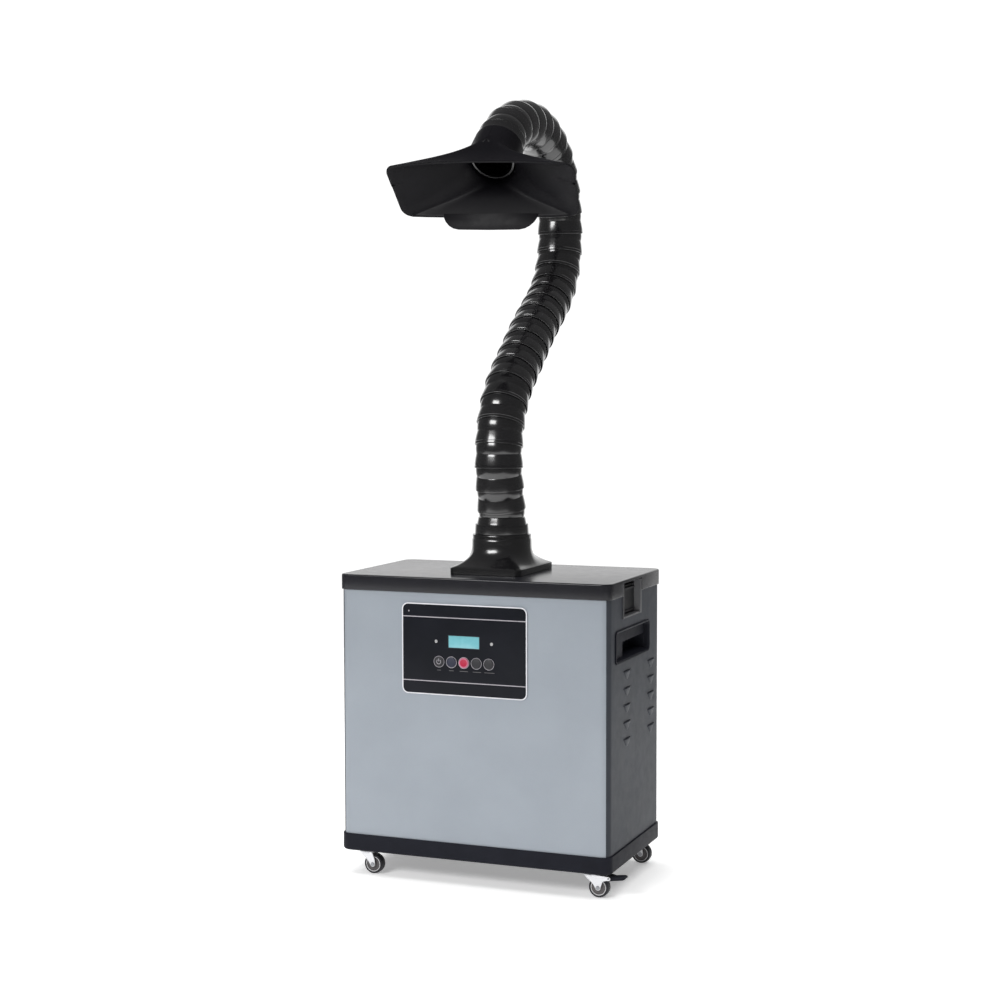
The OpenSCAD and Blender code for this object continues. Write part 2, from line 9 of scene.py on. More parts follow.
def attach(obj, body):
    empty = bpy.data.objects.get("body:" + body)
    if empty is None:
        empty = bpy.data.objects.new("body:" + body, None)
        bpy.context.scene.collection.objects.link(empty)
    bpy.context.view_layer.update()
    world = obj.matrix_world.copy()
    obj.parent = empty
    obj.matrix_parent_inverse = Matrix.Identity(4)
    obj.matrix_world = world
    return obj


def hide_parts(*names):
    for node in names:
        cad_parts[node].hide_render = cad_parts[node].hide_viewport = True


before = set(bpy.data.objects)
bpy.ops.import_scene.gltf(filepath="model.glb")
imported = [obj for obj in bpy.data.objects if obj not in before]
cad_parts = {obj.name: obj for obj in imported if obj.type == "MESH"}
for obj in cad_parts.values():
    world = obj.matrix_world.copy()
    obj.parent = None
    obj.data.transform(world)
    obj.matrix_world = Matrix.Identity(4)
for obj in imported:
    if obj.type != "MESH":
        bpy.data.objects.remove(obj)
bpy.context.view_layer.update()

MM = 0.001

# The cabinet, as in part.scad
CAB_W, CAB_D, CORNER_R = 430, 250, 15
BODY_W, BODY_D, SHELL_R = 425, 245, 12.5
BASE_Z, BASE_TOP = 37, 63
LEDGE_Z = 52
COVER_Z, COVER_TOP, COVER_UNDER = 434, 457, 454
SIDE_X, FRONT_Y, BACK_Y = 212.5, -122.5, 122.5
SHEET = 1.5
# How far back the silver paint runs round the front corners. Behind it the shell is charcoal: partly its
# own darker paint, partly painted shade on the sides.
SILVER_WRAP = 2.4
DUCT_R = 38.4

# The control panel
PANEL_X, PANEL_Z, PANEL_W, PANEL_H, PANEL_R = -11, 351, 197, 134, 9
BUTTON_PITCH, BUTTON_R, BUTTON_Z = 19.8, 7.7, PANEL_Z - 18
LED_Z, LCD_Z = PANEL_Z + 12, PANEL_Z + 12.5
PANEL_Y = FRONT_Y - 2
BUTTONS = ["power", "down", "set", "up", "mode"]

# The sides
HANDLE_Y, HANDLE_Z = -14, 361.5
POCKET_Y, POCKET_Z = 9, 353.5
LATCH_Y0, LATCH_Y1 = -56, 14
LATCH_HOLE_Y = -18.5
LOUVRE_Y = [-38.5, 79]
LOUVRE_Z = [316 - 25 * i for i in range(5)]

# The arm: lean of each ring from upright towards the back, in degrees
LEAN = [
    -12, -9, 0, 11, 23, 35, 46,
    51, 50, 50, 53, 56, 56, 48,
    35, 21, 8, -4, -14, -24, -38,
    -53, -65, -76, -88, -98, -108, -120,
]
NECK_LEAN = -132
RING_PITCH = 32.3
FIRST_BALL_Z = 548.5
BALL_R, SOCKET_R, THROAT_R = 34.95, 35.35, 36
RINGS = len(LEAN)
ARM_STEPS = 96
MOUTH_W, MOUTH_H, MOUTH_DROP, MOUTH_END = 292, 98, 12, 117
NECK_END, HOOD_TURN = 60, -2.2
CUFF_TOP = COVER_TOP + 57

# The casters
CASTER_X, CASTER_Y, TRAIL, WHEEL_R, WHEEL_W = 180, 102, 12, 15, 14
CASTERS = {
    "front_left": (-CASTER_X, -CASTER_Y),
    "front_right": (CASTER_X, -CASTER_Y),
    "back_left": (-CASTER_X, CASTER_Y),
    "back_right": (CASTER_X, CASTER_Y),
}
PEDAL_X, PEDAL_Z = 28, 29.7
BRAKED = ("front_right", "back_left")

# The view: metres and degrees
CAMERA_AT = (1.028, -2.5832, 0.7454)
CAMERA_AZIMUTH, CAMERA_DOWN, CAMERA_ROLL = 21.756, 3.706, -0.12
CAMERA_LENS = 66.03
BACKDROP_WAY = (-0.37, 0.93, 0.0)
BACKDROP_WHITE, BACKDROP_DIM = 1.1, 0.16
FLOOR_HALF = 2000

# The angle between faces, in degrees, from which an edge is drawn sharp
SHARP = 32


# ---- Materials ----

def shader(name, metallic=0.0, coat=0.0, coat_roughness=0.12, specular=0.5):
    """A node material with its Principled shader and its object-space coordinates."""
    mat = bpy.data.materials.new(name)
    mat.use_nodes = True
    bsdf = mat.node_tree.nodes["Principled BSDF"]
    bsdf.inputs["Metallic"].default_value = metallic
    bsdf.inputs["Coat Weight"].default_value = coat
    bsdf.inputs["Coat Roughness"].default_value = coat_roughness
    bsdf.inputs["Specular IOR Level"].default_value = specular
    coords = mat.node_tree.nodes.new("ShaderNodeTexCoord")
    return mat, bsdf, coords.outputs["Object"]


def node(mat, kind, links=(), **values):
    """Adds a shader node, sets its input values by name and links outputs into its inputs."""
    made = mat.node_tree.nodes.new(kind)
    for key, value in values.items():
        made.inputs[key.replace("_", " ")].default_value = value
    for key, source in links:
        mat.node_tree.links.new(source, made.inputs[key])
    return made


def linear(colour):
    """An sRGB colour of 0 to 255 as linear RGBA."""
    def channel(c):
        c = c / 255
        return c / 12.92 if c <= 0.04045 else ((c + 0.055) / 1.055) ** 2.4
    return (*[channel(c) for c in colour], 1.0)


def noise(mat, coords, scale, detail=4.0, roughness=0.55):
    links = [("Vector", coords)]
    made = node(mat, "ShaderNodeTexNoise", links, Scale=scale, Detail=detail, Roughness=roughness)
    return made.outputs["Fac"]


def ramp(mat, fac, low, high, start=0.3, end=0.7):
    """Maps a factor between two colours or two greys."""
    made = mat.node_tree.nodes.new("ShaderNodeValToRGB")
    mat.node_tree.links.new(fac, made.inputs["Fac"])
    made.color_ramp.elements[0].position = start
    made.color_ramp.elements[1].position = end
    made.color_ramp.elements[0].color = low
    made.color_ramp.elements[1].color = high
    return made.outputs["Color"]


def grey(value):
    return (value, value, value, 1.0)


def bump(mat, bsdf, height, strength, distance):
    made = node(mat, "ShaderNodeBump", [("Height", height)], Strength=strength, Distance=distance)
    mat.node_tree.links.new(made.outputs["Normal"], bsdf.inputs["Normal"])


def surface(name, colour, dark, roughness, grain, depth, coat=0.0, specular=0.5, spread=0.05):
    """A moulded or painted surface: fine grain, soft blotches of tone and roughness that varies.

    grain is the number of bumps per metre, depth their height in metres.
    """
    mat, bsdf, coords = shader(name, coat=coat, specular=specular)
    blotch = noise(mat, coords, 18.0, detail=6.0)
    tone = ramp(mat, blotch, linear(dark), linear(colour))
    mat.node_tree.links.new(tone, bsdf.inputs["Base Color"])
    scuff = noise(mat, coords, 60.0, detail=8.0, roughness=0.7)
    sheen = ramp(mat, scuff, grey(max(0.02, roughness - spread)), grey(roughness + spread))
    mat.node_tree.links.new(sheen, bsdf.inputs["Roughness"])
    bump(mat, bsdf, noise(mat, coords, grain, detail=3.0), 0.5, depth)
    return mat


def silver_paint():
    """Satin metallic paint: flake sparkle under orange peel."""
    mat, bsdf, coords = shader("silver_paint", metallic=0.25, coat=0.25, coat_roughness=0.25)
    flake = node(mat, "ShaderNodeTexVoronoi", [("Vector", coords)], Scale=2600.0).outputs["Color"]
    tone = ramp(mat, noise(mat, coords, 9.0, detail=5.0), linear((143, 150, 158)), linear((149, 156, 164)))
    speck = node(mat, "ShaderNodeMix")
    speck.data_type = "RGBA"
    speck.blend_type = "SOFT_LIGHT"
    speck.inputs[0].default_value = 0.05
    mat.node_tree.links.new(tone, speck.inputs[6])
    mat.node_tree.links.new(flake, speck.inputs[7])
    mat.node_tree.links.new(speck.outputs[2], bsdf.inputs["Base Color"])
    sheen = ramp(mat, noise(mat, coords, 40.0, detail=8.0), grey(0.38), grey(0.46))
    mat.node_tree.links.new(sheen, bsdf.inputs["Roughness"])
    bump(mat, bsdf, noise(mat, coords, 700.0, detail=2.0), 0.35, 0.00004)
    return mat


def woven(name, colour, dark, threads):
    """Cloth-like filter media: two crossed wave bands."""
    mat, bsdf, coords = shader(name, specular=0.2)
    warp = node(mat, "ShaderNodeTexWave", [("Vector", coords)], Scale=threads, Distortion=1.5)
    weft = node(mat, "ShaderNodeTexWave", [("Vector", coords)], Scale=threads, Distortion=1.5)
    weft.bands_direction = "Y"
    cross = node(mat, "ShaderNodeMath", [(0, warp.outputs["Fac"]), (1, weft.outputs["Fac"])])
    cross.operation = "MULTIPLY"
    tone = ramp(mat, cross.outputs["Value"], linear(dark), linear(colour), start=0.0, end=0.6)
    mat.node_tree.links.new(tone, bsdf.inputs["Base Color"])
    rough = ramp(mat, noise(mat, coords, 300.0), grey(0.85), grey(0.98))
    mat.node_tree.links.new(rough, bsdf.inputs["Roughness"])
    bump(mat, bsdf, cross.outputs["Value"], 0.6, 0.0004)
    return mat


def brushed(name, colour, dark, roughness):
    """Rolled or brushed metal with streaks along one way."""
    mat, bsdf, coords = shader(name, metallic=1.0)
    mapped = node(mat, "ShaderNodeMapping", [("Vector", coords)], Scale=(4.0, 4.0, 300.0))
    streak = noise(mat, mapped.outputs["Vector"], 12.0, detail=8.0, roughness=0.7)
    tone = ramp(mat, streak, linear(dark), linear(colour))
    mat.node_tree.links.new(tone, bsdf.inputs["Base Color"])
    sheen = ramp(mat, streak, grey(roughness - 0.06), grey(roughness + 0.08))
    mat.node_tree.links.new(sheen, bsdf.inputs["Roughness"])
    bump(mat, bsdf, streak, 0.2, 0.00005)
    return mat


def lcd_glass():
    """Backlit display: pale cyan, a faint cell grid and soft clouds of tone under gloss."""
    mat, bsdf, coords = shader("lcd_glass", coat=0.6)
    cells = node(mat, "ShaderNodeTexBrick", [("Vector", coords)], Scale=180.0, Mortar_Size=0.01)
    cells.inputs["Color1"].default_value = linear((106, 170, 178))
    cells.inputs["Color2"].default_value = linear((110, 174, 182))
    cells.inputs["Mortar"].default_value = linear((96, 158, 168))
    cloud = ramp(mat, noise(mat, coords, 70.0), linear((100, 164, 174)), linear((116, 180, 188)))
    blend = node(mat, "ShaderNodeMix")
    blend.data_type = "RGBA"
    blend.inputs[0].default_value = 0.5
    mat.node_tree.links.new(cells.outputs["Color"], blend.inputs[6])
    mat.node_tree.links.new(cloud, blend.inputs[7])
    mat.node_tree.links.new(blend.outputs[2], bsdf.inputs["Base Color"])
    mat.node_tree.links.new(blend.outputs[2], bsdf.inputs["Emission Color"])
    bsdf.inputs["Emission Strength"].default_value = 0.12
    rough = ramp(mat, noise(mat, coords, 200.0), grey(0.18), grey(0.28))
    mat.node_tree.links.new(rough, bsdf.inputs["Roughness"])
    return mat


def floor_white():
    """Pale floor that glows a little, so that it meets the backdrop without an edge."""
    mat, bsdf, coords = shader("floor_white", specular=0.1)
    tone = ramp(mat, noise(mat, coords, 0.8), linear((250, 250, 250)), linear((253, 253, 253)))
    mat.node_tree.links.new(tone, bsdf.inputs["Base Color"])
    bsdf.inputs["Roughness"].default_value = 0.9
    bsdf.inputs["Emission Color"].default_value = (1, 1, 1, 1)
    bsdf.inputs["Emission Strength"].default_value = 0.32
    return mat


def cabinet_paints():
    return {
        "silver": silver_paint(),
        # Charcoal of the sides, back and louvres: partly a darker paint of their own, partly painted shade
        # darkening the sides
        "charcoal_and_shade": surface(
            "charcoal_paint_and_shade", (62, 65, 71), (56, 59, 64), 0.44, 800.0, 0.00004, specular=0.1,
        ),
        "cabinet_black": surface(
            "cabinet_black", (34, 35, 42), (28, 29, 35), 0.46, 900.0, 0.00004, specular=0.06,
        ),
        "cover_black": surface(
            "cover_black", (31, 31, 36), (27, 27, 31), 0.24, 900.0, 0.00001, specular=0.4, spread=0.02,
        ),
        "arm_black": surface(
            "arm_black", (17, 16, 18), (11, 11, 13), 0.22, 420.0, 0.00001,
            coat=0.6, specular=0.7, spread=0.02,
        ),
        "hood_black": surface(
            "hood_black", (15, 14, 18), (11, 10, 14), 0.45, 700.0, 0.00003, specular=0.14,
        ),
    }


def panel_finishes():
    return {
        "panel_black": surface(
            "panel_black", (20, 22, 29), (15, 17, 23), 0.35, 1500.0, 0.00002, specular=0.15,
        ),
        "print_light": surface("print_light", (176, 172, 178), (160, 156, 163), 0.45, 1800.0, 0.00001),
        # A white that paints the highlight along the control panel's edge
        "painted_edge_highlight": surface("painted_edge_highlight", (228, 228, 232), (214, 214, 219), 0.4, 1800.0, 0.00001),
        "print_dim": surface("print_dim", (92, 90, 92), (74, 72, 75), 0.5, 1800.0, 0.00001),
        "key_black": surface("key_black", (36, 36, 40), (29, 29, 33), 0.4, 1600.0, 0.00002),
        "key_blue": surface("key_blue", (34, 38, 58), (27, 31, 48), 0.4, 1600.0, 0.00002),
        "key_red": surface("key_red", (176, 26, 62), (158, 20, 52), 0.35, 1600.0, 0.00002),
        "key_pink": surface("key_pink", (190, 110, 135), (172, 98, 122), 0.4, 1600.0, 0.00002),
        "lens": surface("lens", (170, 170, 170), (140, 140, 142), 0.2, 1600.0, 0.00002, coat=0.6),
        "lcd": lcd_glass(),
    }


def fitting_finishes():
    return {
        "latch_dark": surface("latch_dark", (16, 16, 20), (11, 11, 14), 0.45, 900.0, 0.00005, specular=0.2),
        "latch_grey": surface("latch_grey", (88, 88, 90), (78, 78, 81), 0.5, 900.0, 0.00005),
        "rubber": surface("rubber", (30, 30, 36), (22, 22, 27), 0.6, 1400.0, 0.00008),
        "hub_grey": surface("hub_grey", (92, 88, 88), (70, 67, 68), 0.45, 1200.0, 0.00004),
        "hub_white": surface("hub_white", (225, 225, 226), (205, 205, 207), 0.4, 1200.0, 0.00003),
        "zinc": brushed("zinc", (232, 232, 234), (206, 207, 210), 0.3),
        "steel": brushed("steel", (200, 202, 205), (176, 178, 182), 0.36),
        "screw": brushed("screw", (170, 172, 176), (140, 142, 147), 0.33),
    }


def inner_finishes():
    return {
        "foam": surface("foam", (62, 62, 64), (44, 44, 46), 0.9, 1100.0, 0.0006),
        "pre_media": woven("pre_media", (226, 228, 230), (196, 199, 203), 90.0),
        "hepa_media": woven("hepa_media", (238, 238, 232), (214, 214, 206), 160.0),
        "carbon": surface("carbon", (58, 60, 64), (24, 25, 28), 0.85, 260.0, 0.0015),
        "housing": surface("housing", (78, 80, 84), (68, 70, 74), 0.5, 700.0, 0.00006),
        "board": surface("board", (36, 112, 74), (26, 92, 60), 0.4, 500.0, 0.00006, coat=0.3),
        "rocker": surface("rocker", (202, 52, 60), (180, 40, 50), 0.3, 1200.0, 0.00003, coat=0.3),
    }


MATERIALS = {
    "floor": floor_white(),
    **cabinet_paints(),
    **panel_finishes(),
    **fitting_finishes(),
    **inner_finishes(),
}


# ---- Mesh tools ----

def mark_edges(bm, angle=SHARP):
    """Smooths a mesh and keeps the edges sharper than an angle crisp."""
    limit = math.radians(angle)
    for face in bm.faces:
        face.smooth = True
    for edge in bm.edges:
        edge.smooth = edge.calc_face_angle(0.0) < limit


def finish_mesh(name, bm, angle=None):
    """Mesh data in metres from a mesh drawn in millimetres."""
    bmesh.ops.recalc_face_normals(bm, faces=bm.faces)
    if angle:
        mark_edges(bm, angle)
    mesh = bpy.data.meshes.new(name)
    bm.to_mesh(mesh)
    bm.free()
    mesh.transform(Matrix.Scale(MM, 4))
    return mesh


def piece(name, bm, material, body=None, angle=SHARP):
    """Turns a mesh drawn in millimetres into an object that rides on a body."""
    return place(name, finish_mesh(name, bm, angle), material, body)


def place(name, mesh, material, body=None):
    obj = bpy.data.objects.new(name, mesh)
    bpy.context.scene.collection.objects.link(obj)
    if not mesh.materials:
        mesh.materials.append(MATERIALS[material])
    if body:
        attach(obj, body)
    return obj


def ring_of(bm, points):
    return [bm.verts.new(p) for p in points]


def skin(bm, rings, closed=False):
    """Joins rings that have the same number of points with quads."""
    pairs = list(zip(rings, rings[1:]))
    if closed:
        pairs.append((rings[-1], rings[0]))
    for low, high in pairs:
        count = len(low)
        for i in range(count):
            bm.faces.new((low[i], low[(i + 1) % count], high[(i + 1) % count], high[i]))


def rounded_outline(w, h, r, steps=6):
    """Points round a rounded rectangle, centred, anticlockwise."""
    points = []
    for sx, sy, start in ((1, 1, 0), (-1, 1, 90), (-1, -1, 180), (1, -1, 270)):
        for i in range(steps + 1):
            a = math.radians(start + 90 * i / steps)
            points.append((sx * (w / 2 - r) + r * math.cos(a), sy * (h / 2 - r) + r * math.sin(a)))
    return points


def facing(axis, centre):
    """A function that turns an outline's point and a depth into a place.

    axis is 'z' for a depth upwards, 'x' for one to the right and 'y' for one to the back.
    """
    cx, cy, cz = centre
    if axis == "z":
        return lambda p, d: (cx + p[0], cy + p[1], cz + d)
    if axis == "x":
        return lambda p, d: (cx + d, cy + p[0], cz + p[1])
    return lambda p, d: (cx + p[0], cy + d, cz + p[1])


def stack(bm, loops, axis="z", centre=(0, 0, 0), closed=False, caps=True, steps=6):
    """Skins rounded rectangles given as (width, height, radius, depth[, shift across, shift up])."""
    at = facing(axis, centre)
    rings = []
    for loop in loops:
        w, h, r, depth = loop[:4]
        dx, dy = loop[4:6] if len(loop) > 4 else (0, 0)
        outline = rounded_outline(w, h, r, steps)
        rings.append(ring_of(bm, [at((x + dx, y + dy), depth) for x, y in outline]))
    skin(bm, rings, closed)
    if caps and not closed:
        bm.faces.new(rings[0])
        bm.faces.new(rings[-1])
    return rings


def edge_round(w, h, r, depth, fillet, inward, steps=4):
    """Loops that turn a side into a face at this depth with a rounded edge.

    inward is 1 where the face looks towards greater depth and -1 where it looks the other way.
    """
    loops = []
    for i in range(steps + 1):
        a = math.radians(90 * i / steps)
        inset = fillet * (1 - math.cos(a))
        along = depth - inward * fillet * (1 - math.sin(a))
        loops.append((w - 2 * inset, h - 2 * inset, max(r - inset, 0.2), along))
    return loops


def plate(bm, w, h, r, low, high, fillet, axis="z", centre=(0, 0, 0)):
    """A solid rounded plate with softened edges."""
    bottom = edge_round(w, h, r, low, fillet, -1)[::-1]
    top = edge_round(w, h, r, high, fillet, 1)
    stack(bm, bottom + top, axis, centre)


def arc(r, zc, a0, a1, steps, rc=0):
    """Points (radius, height) on a circle about (rc, zc), from one angle to another."""
    points = []
    for i in range(steps + 1):
        a = math.radians(a0 + (a1 - a0) * i / steps)
        points.append((rc + r * math.cos(a), zc + r * math.sin(a)))
    return points


def lathe(bm, profile, closed=True, steps=72, centre=(0, 0, 0), axis="z"):
    """Turns a profile of (radius, height) round an axis. An open profile gets a flat cap at each end."""
    rings = []
    cx, cy, cz = centre
    for r, h in profile:
        points = []
        for i in range(steps):
            a = 2 * math.pi * i / steps
            u, v = r * math.cos(a), r * math.sin(a)
            if axis == "z":
                points.append((cx + u, cy + v, cz + h))
            elif axis == "y":
                points.append((cx + u, cy + h, cz + v))
            else:
                points.append((cx + h, cy + u, cz + v))
        rings.append(ring_of(bm, points))
    skin(bm, rings, closed)
    if not closed:
        bm.faces.new(rings[0])
        bm.faces.new(rings[-1])


def pin_form(bm, centre, r, low, high, steps):
    """A round solid with softened rims, from low to high along y."""
    fillet = 0.3
    profile = [(r - fillet, low), (r - 0.3 * fillet, low + 0.3 * fillet), (r, low + fillet)]
    profile += [(r, high - fillet), (r - 0.3 * fillet, high - 0.3 * fillet), (r - fillet, high)]
    lathe(bm, profile, closed=False, steps=steps, centre=centre, axis="y")


def carve(obj, tools):
    """Cuts scratch solids out of an object's mesh and removes them."""
    for tool in tools:
        mod = obj.modifiers.new("cut", "BOOLEAN")
        mod.operation = "DIFFERENCE"
        mod.solver = "EXACT"
        mod.object = tool
    graph = bpy.context.evaluated_depsgraph_get()
    carved = bpy.data.meshes.new_from_object(obj.evaluated_get(graph))
    obj.modifiers.clear()
    old = obj.data
    obj.data = carved
    bpy.data.meshes.remove(old)
    for tool in tools:
        mesh = tool.data
        bpy.data.objects.remove(tool)
        bpy.data.meshes.remove(mesh)


def cutter(bm):
    """A scratch solid for carve, from a mesh drawn in millimetres."""
    obj = bpy.data.objects.new("cutter", finish_mesh("cutter", bm))
    bpy.context.scene.collection.objects.link(obj)
    return obj


def block_cutter(w, h, r, low, high, axis="z", centre=(0, 0, 0)):
    bm = bmesh.new()
    stack(bm, [(w, h, r, low), (w, h, r, high)], axis, centre)
    return cutter(bm)


def round_cutter(r, low, high, axis="z", centre=(0, 0, 0), steps=64):
    bm = bmesh.new()
    lathe(bm, [(r, low), (r, high)], closed=False, steps=steps, centre=centre, axis=axis)
    return cutter(bm)


def resmooth(obj):
    """Marks a carved object's edges again."""
    bm = bmesh.new()
    bm.from_mesh(obj.data)
    mark_edges(bm)
    bm.to_mesh(obj.data)
    bm.free()


def soften(obj, width, angle=35):
    """Rounds the edges of a finished object."""
    mod = obj.modifiers.new("soften", "BEVEL")
    mod.width = width * MM
    mod.segments = 2
    mod.limit_method = "ANGLE"
    mod.angle_limit = math.radians(angle)


# ---- Camera, light and floor ----

def add_camera():
    data = bpy.data.cameras.new("camera")
    data.lens = CAMERA_LENS
    data.sensor_width = 36
    data.clip_end = 100
    camera = bpy.data.objects.new("camera", data)
    bpy.context.scene.collection.objects.link(camera)
    azimuth = Matrix.Rotation(math.radians(CAMERA_AZIMUTH), 4, "Z")
    pitch = Matrix.Rotation(math.radians(90 - CAMERA_DOWN), 4, "X")
    roll = Matrix.Rotation(math.radians(CAMERA_ROLL), 4, "Z")
    camera.matrix_world = Matrix.Translation(CAMERA_AT) @ (azimuth @ pitch) @ roll
    bpy.context.scene.camera = camera


def add_light(name, place_at, target, size, power):
    data = bpy.data.lights.new(name, "AREA")
    data.shape = "RECTANGLE"
    data.size, data.size_y = size
    data.energy = power
    light = bpy.data.objects.new(name, data)
    light.location = place_at
    light.rotation_euler = (Vector(target) - Vector(place_at)).to_track_quat("-Z", "Y").to_euler()
    bpy.context.scene.collection.objects.link(light)
    return light


def add_stage():
    bm = bmesh.new()
    bmesh.ops.create_grid(bm, x_segments=1, y_segments=1, size=FLOOR_HALF)
    piece("floor", bm, "floor")


def add_world():
    """Studio surround: white around one fixed direction, behind the object from the front view.

    It is dim in every other direction, so that blacks stay black.
    """
    world = bpy.data.worlds.new("world")
    world.use_nodes = True
    background = world.node_tree.nodes["Background"]
    coords = node(world, "ShaderNodeTexCoord")
    onward = node(world, "ShaderNodeVectorMath", [(0, coords.outputs["Generated"])])
    onward.operation = "DOT_PRODUCT"
    onward.inputs[1].default_value = BACKDROP_WAY
    level = node(world, "ShaderNodeMapRange", [("Value", onward.outputs["Value"])])
    level.interpolation_type = "SMOOTHSTEP"
    level.inputs["From Min"].default_value = 0.78
    level.inputs["From Max"].default_value = 0.90
    level.inputs["To Min"].default_value = BACKDROP_DIM
    level.inputs["To Max"].default_value = BACKDROP_WHITE
    world.node_tree.links.new(level.outputs["Result"], background.inputs["Strength"])
    background.inputs["Color"].default_value = (1, 1, 1, 1)
    bpy.context.scene.world = world


def add_studio():
    bpy.context.scene.view_settings.view_transform = "Standard"
    add_stage()
    add_world()
    add_light("key", (-1.1, -3.3, 2.3), (0, 0, 0.6), (2.0, 1.1), 92)
    overhead = add_light("overhead", (0.0, 0.6, 4.2), (0, 0.2, 0), (5.5, 5.0), 210)
    overhead.visible_glossy = False


# ---- Cabinet ----

def make_cover():
    bm = bmesh.new()
    wall = 2.3
    outside = edge_round(CAB_W, CAB_D, CORNER_R, COVER_Z, 0.8, -1)[::-1]
    outside += edge_round(CAB_W, CAB_D, CORNER_R, COVER_TOP, 2.2, 1, 6)
    inside = [
        (CAB_W - 2 * wall, CAB_D - 2 * wall, CORNER_R - wall, COVER_UNDER),
        (CAB_W - 2 * wall, CAB_D - 2 * wall, CORNER_R - wall, COVER_Z),
    ]
    rings = stack(bm, outside, caps=False)
    bm.faces.new(rings[-1])
    inner = stack(bm, inside, caps=False)
    bm.faces.new(inner[0])
    skin(bm, [inner[1], rings[0]])
    cover = piece("cover_lid", bm, "cover_black", "cover")
    holes = [round_cutter(DUCT_R, COVER_Z + 5, COVER_TOP + 5)]
    for side in (-1, 1):
        low, high = side * (SIDE_X - 1), side * (SIDE_X + 6)
        holes.append(block_cutter(88.2, 30, 1, low, high, "x", (0, LATCH_HOLE_Y, 437.6)))
    carve(cover, holes)
    resmooth(cover)
    bm = bmesh.new()
    lathe(bm, [(DUCT_R, 440), (DUCT_R + 2.4, 440), (DUCT_R + 2.4, 454), (DUCT_R, 454)])
    piece("cover_spigot", bm, "cover_black", "cover")
    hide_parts("top_cover")


def make_base():
    bm = bmesh.new()
    outside = edge_round(CAB_W, CAB_D, CORNER_R, BASE_Z, 4.5, -1, 6)[::-1]
    outside += edge_round(CAB_W, CAB_D, CORNER_R, BASE_TOP, 0.7, 1)
    inside = [
        (BODY_W + 0.4, BODY_D + 0.4, SHELL_R, BASE_TOP),
        (BODY_W + 0.4, BODY_D + 0.4, SHELL_R, LEDGE_Z),
        (CAB_W - 16, CAB_D - 16, 7, LEDGE_Z),
        (CAB_W - 16, CAB_D - 16, 7, 43),
    ]
    under = [
        (CAB_W - 10, CAB_D - 10, 10, BASE_Z),
        (CAB_W - 10, CAB_D - 10, 10, 40),
    ]
    outer = stack(bm, outside, caps=False)
    inner = stack(bm, inside, caps=False)
    below = stack(bm, under, caps=False)
    skin(bm, [outer[-1], inner[0]])
    skin(bm, [outer[0], below[0]])
    bm.faces.new(inner[-1])
    bm.faces.new(below[-1])
    base = piece("base_pan", bm, "cabinet_black", "cabinet")
    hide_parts("base_tray")


def louvre_window(side, y, z):
    at = facing("x", (side * SIDE_X, y, z))
    outline = [(-14, 4.5), (14, 4.5), (4, -5), (-4, -5)]
    bm = bmesh.new()
    rows = [ring_of(bm, [at(p, d) for p in outline]) for d in (-3, 3)]
    skin(bm, rows)
    bm.faces.new(rows[0])
    bm.faces.new(rows[1])
    return cutter(bm)


def add_scoop(bm, side, y, z):
    """A pressed pocket louvre, open at its top and narrowing downwards."""
    at = facing("x", (side * SIDE_X, y, z))
    rows = []
    for j in range(7):
        t = j / 6
        half = 16.0 * (1 - t) ** 0.75 + 1.2
        up = 6.2 - 12.6 * t
        lift = 2.05 * (1 - t) ** 0.8
        row = []
        for i in range(13):
            s = -1 + 2 * i / 12
            bulge = max(0.0, 1 - abs(s) ** 3)
            row.append(at((s * half, up), side * (0.08 + lift * bulge)))
        rows.append(ring_of(bm, row))
    for low, high in zip(rows, rows[1:]):
        for i in range(12):
            bm.faces.new((low[i], low[i + 1], high[i + 1], high[i]))


def make_shell():
    bm = bmesh.new()
    outside = [(BODY_W, BODY_D, SHELL_R, LEDGE_Z), (BODY_W, BODY_D, SHELL_R, COVER_UNDER)]
    inside = [
        (BODY_W - 2 * SHEET, BODY_D - 2 * SHEET, SHELL_R - SHEET, COVER_UNDER),
        (BODY_W - 2 * SHEET, BODY_D - 2 * SHEET, SHELL_R - SHEET, LEDGE_Z),
    ]
    stack(bm, outside + inside, closed=True, steps=10)
    shell = piece("cabinet_shell", bm, "silver", "cabinet")
    holes = [
        block_cutter(PANEL_W - 16, PANEL_H - 16, 6, FRONT_Y - 3, FRONT_Y + 5, "y", (PANEL_X, 0, PANEL_Z)),
        block_cutter(260, 272, 6, BACK_Y - 5, BACK_Y + 3, "y", (0, 0, 220)),
    ]
    for side in (-1, 1):
        low, high = side * (SIDE_X - 5), side * (SIDE_X + 3)
        holes.append(block_cutter(158, 44, 6, low, high, "x", (0, HANDLE_Y, HANDLE_Z)))
        holes.append(block_cutter(87.4, 60, 1, low, high, "x", (0, LATCH_HOLE_Y, 429.8)))
        for y in LOUVRE_Y:
            for z in LOUVRE_Z:
                holes.append(louvre_window(side, y, z))
    carve(shell, holes)
    # The shell behind the front takes the charcoal: darker side paint, partly painted shade
    shell.data.materials.append(MATERIALS["charcoal_and_shade"])
    for face in shell.data.polygons:
        face.material_index = 0 if face.center.y < (FRONT_Y + SILVER_WRAP) * MM else 1
    resmooth(shell)
    make_scoops()
    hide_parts("body_shell")


def make_scoops():
    bm = bmesh.new()
    for side in (-1, 1):
        for y in LOUVRE_Y:
            for z in LOUVRE_Z:
                add_scoop(bm, side, y, z)
    # The louvres take the sides' charcoal, which is partly painted shade
    scoops = piece("shell_louvres", bm, "charcoal_and_shade", "cabinet", angle=50)
    thick = scoops.modifiers.new("sheet", "SOLIDIFY")
    thick.thickness = 0.7 * MM
    thick.offset = -1


def band(bm, x, z, w, h, r, thick, y0, y1):
    """A thin frame on the front."""
    outer = (w, h, r)
    inner = (w - 2 * thick, h - 2 * thick, r - thick)
    loops = [(*outer, y1), (*outer, y0), (*inner, y0), (*inner, y1)]
    stack(bm, loops, "y", (x, 0, z), closed=True, steps=8)


def button_x(i):
    """Where a button stands across the front, counted from the left."""
    return PANEL_X + (i - 2) * BUTTON_PITCH


